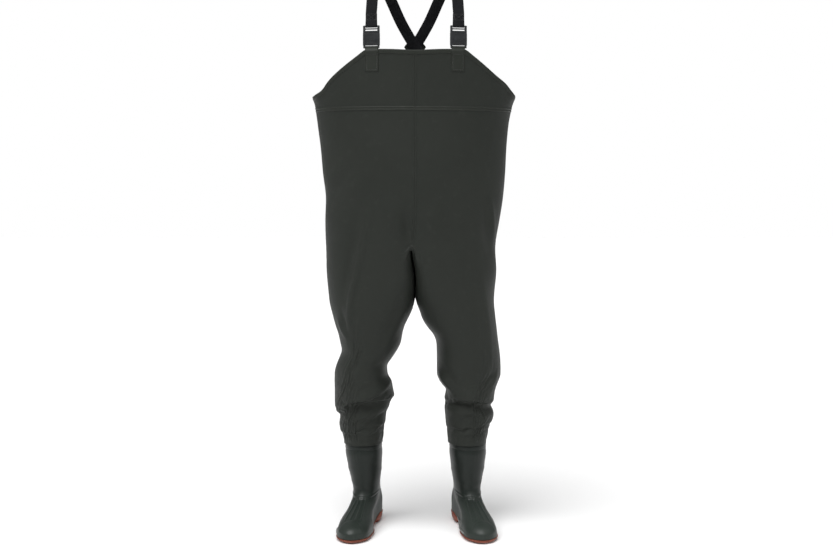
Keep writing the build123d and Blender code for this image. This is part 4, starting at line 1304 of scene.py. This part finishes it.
# ---------------------------------------------------------------- tabs and patches
def slab(name, grid, normals, thick, edge, step):
    """A soft-edged piece of cloth on a grid of places, thinning at its edges."""
    rows, cols = grid.shape[:2]
    u = np.minimum(np.arange(rows), np.arange(rows)[::-1])[:, None] * step
    v = np.minimum(np.arange(cols), np.arange(cols)[::-1])[None, :] * step
    rim = np.minimum(u + 0 * v, v + 0 * u)
    crown = np.sqrt(np.clip(1 - (1 - np.clip(rim / edge, 0, 1)) ** 2, 0, 1))
    front = grid + normals * (thick * (0.25 + 0.75 * crown))[..., None]
    back = grid - normals * 0.0004
    points = np.concatenate([front.reshape(-1, 3), back.reshape(-1, 3)])
    faces = grid_faces(rows, cols)
    other = [tuple(rows * cols + k for k in reversed(f)) for f in grid_faces(rows, cols)]
    border = ([(0, c) for c in range(cols - 1)] + [(r, cols - 1) for r in range(rows - 1)]
              + [(rows - 1, c) for c in range(cols - 1, 0, -1)] + [(r, 0) for r in range(rows - 1, 0, -1)])
    ring_ids = [r * cols + c for r, c in border]
    rim_faces = []
    for k, a in enumerate(ring_ids):
        b = ring_ids[(k + 1) % len(ring_ids)]
        rim_faces.append((b, a, a + rows * cols, b + rows * cols))
    uv = [(c * step, r * step) for r in range(rows) for c in range(cols)] * 2
    obj = make_object(name, points, faces + other + rim_faces, TRIM, uv=uv)
    face_outwards(obj)
    return obj


def hem_lines(grid):
    """The four lines of stitches just inside a patch's edges."""
    return [grid[2, 2:-2], grid[-3, 2:-2], grid[2:-2, 2], grid[2:-2, -3]]


def build_tab(side, word):
    """The cloth tab: welded to the bib, up over its hem, round the socket's bar and down inside."""
    step = 0.0022
    across = np.arange(-0.0180, 0.0181, step * 0.94)
    c, s = math.cos(BUCKLE_YAW), math.sin(BUCKLE_YAW)
    loop = BAR_RADIUS + 0.0004
    rows, looks = [], []
    heights = np.arange(1.2260, 1.2860, step)
    for z in heights:
        row, look = [], []
        for w in across:
            x = side * (BAR_AT[0] + w * c)
            y = BAR_AT[1] + w * s - 0.010
            place, normal = on_cloth((x, y, min(z, 1.2795)))
            over = 0.0006 + 0.0022 * ramp(z, 1.2690, 1.2735)
            spot = place + normal * over
            bar = buckle_to_world((w, -loop, 0), side)
            t = float(ramp(z, 1.2790, 1.2860))
            spot = spot * (1 - t) + bar * t
            row.append((spot[0], spot[1], z))
            look.append(unit(normal * (1, 1, 0)))
        rows.append(row)
        looks.append(look)
    for turn in np.linspace(0, math.pi, 9):
        y, z = -loop * math.cos(turn), loop * math.sin(turn)
        rows.append([tuple(buckle_to_world((w, y, z), side)) for w in across])
        way = np.array((side * math.cos(turn) * s, -math.cos(turn) * c, math.sin(turn)))
        looks.append([way] * len(across))
    for z in np.arange(1.2860, 1.2400, -step):
        row, look = [], []
        for w in across:
            bar = buckle_to_world((w, loop, 0), side)
            place, normal = on_cloth((bar[0], bar[1], min(z, 1.2795)))
            inside = place - normal * 0.0036
            t = float(ramp(z, 1.2740, 1.2860))
            spot = inside * (1 - t) + bar * t
            row.append((spot[0], spot[1], z))
            look.append(-unit(normal * (1, 1, 0)))
        rows.append(row)
        looks.append(look)
    grid, normals = np.array(rows), np.array(looks)
    piece = slab(f"{word}_tab", grid, normals, 0.0014, 0.0018, step)
    front = len(heights)
    lines, ways = [], []
    for col in (2, -3):
        run = np.arange(3, front - 8)
        lines.append(grid[run, col] + normals[run, col] * 0.0015)
        ways.append(normals[run, col])
    for row in (2, front - 8):
        lines.append(grid[row, 2:-2] + normals[row, 2:-2] * 0.0015)
        ways.append(normals[row, 2:-2])
    thread = stitches(f"{word}_tab_thread", lines, ways)
    settle(join(f"{word}_tab", [piece, thread]), "waders", "cloth_trim", f"{word}_strap_tab")


def build_anchor(side, word):
    """The patch of cloth that carries the end of a brace on the back."""
    step = 0.0027
    xs, zs = np.arange(0.038, 0.0921, step), np.arange(1.150, 1.2201, step)
    grid, normals = np.zeros((len(zs), len(xs), 3)), np.zeros((len(zs), len(xs), 3))
    for r, z in enumerate(zs):
        for c, x in enumerate(xs):
            place, normal = on_cloth((side * x, 0.150, z))
            grid[r, c], normals[r, c] = place, normal
    piece = slab(f"{word}_anchor", grid, normals, 0.0013, 0.0022, step)
    ways = hem_lines(normals)
    thread = stitches(f"{word}_anchor_thread", [a + b * 0.0014 for a, b in zip(hem_lines(grid), ways)], ways)
    settle(join(f"{word}_anchor", [piece, thread]), "waders", "cloth_trim", f"{word}_brace_anchor_patch")


def build_crossing():
    """The square patch, set on its corner, over the place where the braces cross."""
    step, half, lean = 0.0023, 0.023, math.radians(12.5)
    line = np.arange(-half, half + 1e-6, step)
    centre = np.array((0, 0.1512 + 0.0030, 1.3120))
    up = np.array((0, -math.sin(lean), math.cos(lean)))
    out = np.array((0, math.cos(lean), math.sin(lean)))
    right = np.array((1.0, 0, 0))
    u, v = np.meshgrid(line, line)
    corner = (np.abs(u) + np.abs(v)) / (2 * half)
    shrink = 1 - 0.06 * ramp(corner, 0.80, 1.0)
    a, b = (u - v) / math.sqrt(2) * shrink, (u + v) / math.sqrt(2) * shrink
    drape_in = 0.0012 * ramp(np.maximum(np.abs(u), np.abs(v)), half * 0.55, half)
    grid = centre + a[..., None] * right + b[..., None] * up - drape_in[..., None] * out
    normals = np.broadcast_to(out, grid.shape)
    piece = slab("back_patch", grid, normals, 0.0016, 0.0022, step)
    thread = stitches("back_patch_thread", [line + out * 0.0017 for line in hem_lines(grid)], [out] * 4)
    settle(join("back_patch", [piece, thread]), "waders", "cloth_trim", "crossing_patch")


for side, word in SIDES:
    build_tab(side, word)
    build_anchor(side, word)
build_crossing()


# ---------------------------------------------------------------- the camera, the light and the floor
CAMERA_AT, CAMERA_DOWN = (0.004, -3.7, 1.0), 3.905  # metres, and degrees below the level


def studio():
    """The viewing angle, soft light from all round and a pale floor."""
    camera = bpy.data.cameras.new("camera")
    camera.lens, camera.sensor_width = 59.6, 36.0
    camera.clip_end = 50
    camera.shift_y = -0.0281
    holder = bpy.data.objects.new("camera", camera)
    bpy.context.scene.collection.objects.link(holder)
    holder.location = CAMERA_AT
    holder.rotation_euler = (math.radians(90 - CAMERA_DOWN), 0, 0)
    bpy.context.scene.camera = holder

    def area(name, place, target, size, power):
        light = bpy.data.lights.new(name, "AREA")
        light.shape, light.size, light.size_y, light.energy = "RECTANGLE", size[0], size[1], power
        lamp = bpy.data.objects.new(name, light)
        lamp.location = place
        lamp.rotation_euler = (Vector(target) - Vector(place)).to_track_quat("-Z", "Y").to_euler()
        bpy.context.scene.collection.objects.link(lamp)

    def sun(name, toward, angle, power):
        light = bpy.data.lights.new(name, "SUN")
        light.angle, light.energy = math.radians(angle), power
        lamp = bpy.data.objects.new(name, light)
        lamp.rotation_euler = (-Vector(toward)).to_track_quat("-Z", "Y").to_euler()
        bpy.context.scene.collection.objects.link(lamp)

    sun("key", (-0.32, -0.52, 1.0), 50, 3.1)
    sun("fill", (0.45, -0.5, 1.0), 80, 0.9)
    area("side", (-3.0, 0.2, 1.6), (0, 0, 0.8), (1.2, 2.6), 4)
    area("other_side", (3.0, 0.4, 1.6), (0, 0, 0.8), (1.2, 2.6), 4)

    world = bpy.data.worlds.new("studio")
    world.use_nodes = True
    tree = world.node_tree
    background = next(n for n in tree.nodes if n.type == "BACKGROUND")
    # Brighter in front than behind; white where it is seen.
    way = node(tree, "ShaderNodeSeparateXYZ")
    link(tree, coords(tree, "Generated"), way.inputs["Vector"])
    seen = node(tree, "ShaderNodeLightPath").outputs["Is Camera Ray"]
    shade = mixed(tree, way.outputs["Y"], (0.38, 0.38, 0.38), (0.24, 0.24, 0.24), -1.0, 1.0)
    link(tree, mixed(tree, seen, shade, (1, 1, 1), 0.0, 1.0), background.inputs["Color"])
    background.inputs["Strength"].default_value = 1.0
    bpy.context.scene.world = world
    bpy.context.scene.view_settings.view_transform = "Standard"

    finish, tree, shader = new_material("floor_finish")
    shade = mixed(tree, noise(tree, coords(tree), 1.2, 3, 0.5), (0.88, 0.88, 0.88), (0.91, 0.91, 0.91))
    link(tree, shade, shader.inputs["Base Color"])
    shader.inputs["Roughness"].default_value = 0.6
    corners = [(-9, -6), (9, -6), (9, 14), (-9, 14)]
    floor = make_object("floor", [(x, y, 0) for x, y in corners], [(0, 1, 2, 3)], finish, smooth=False)


studio()
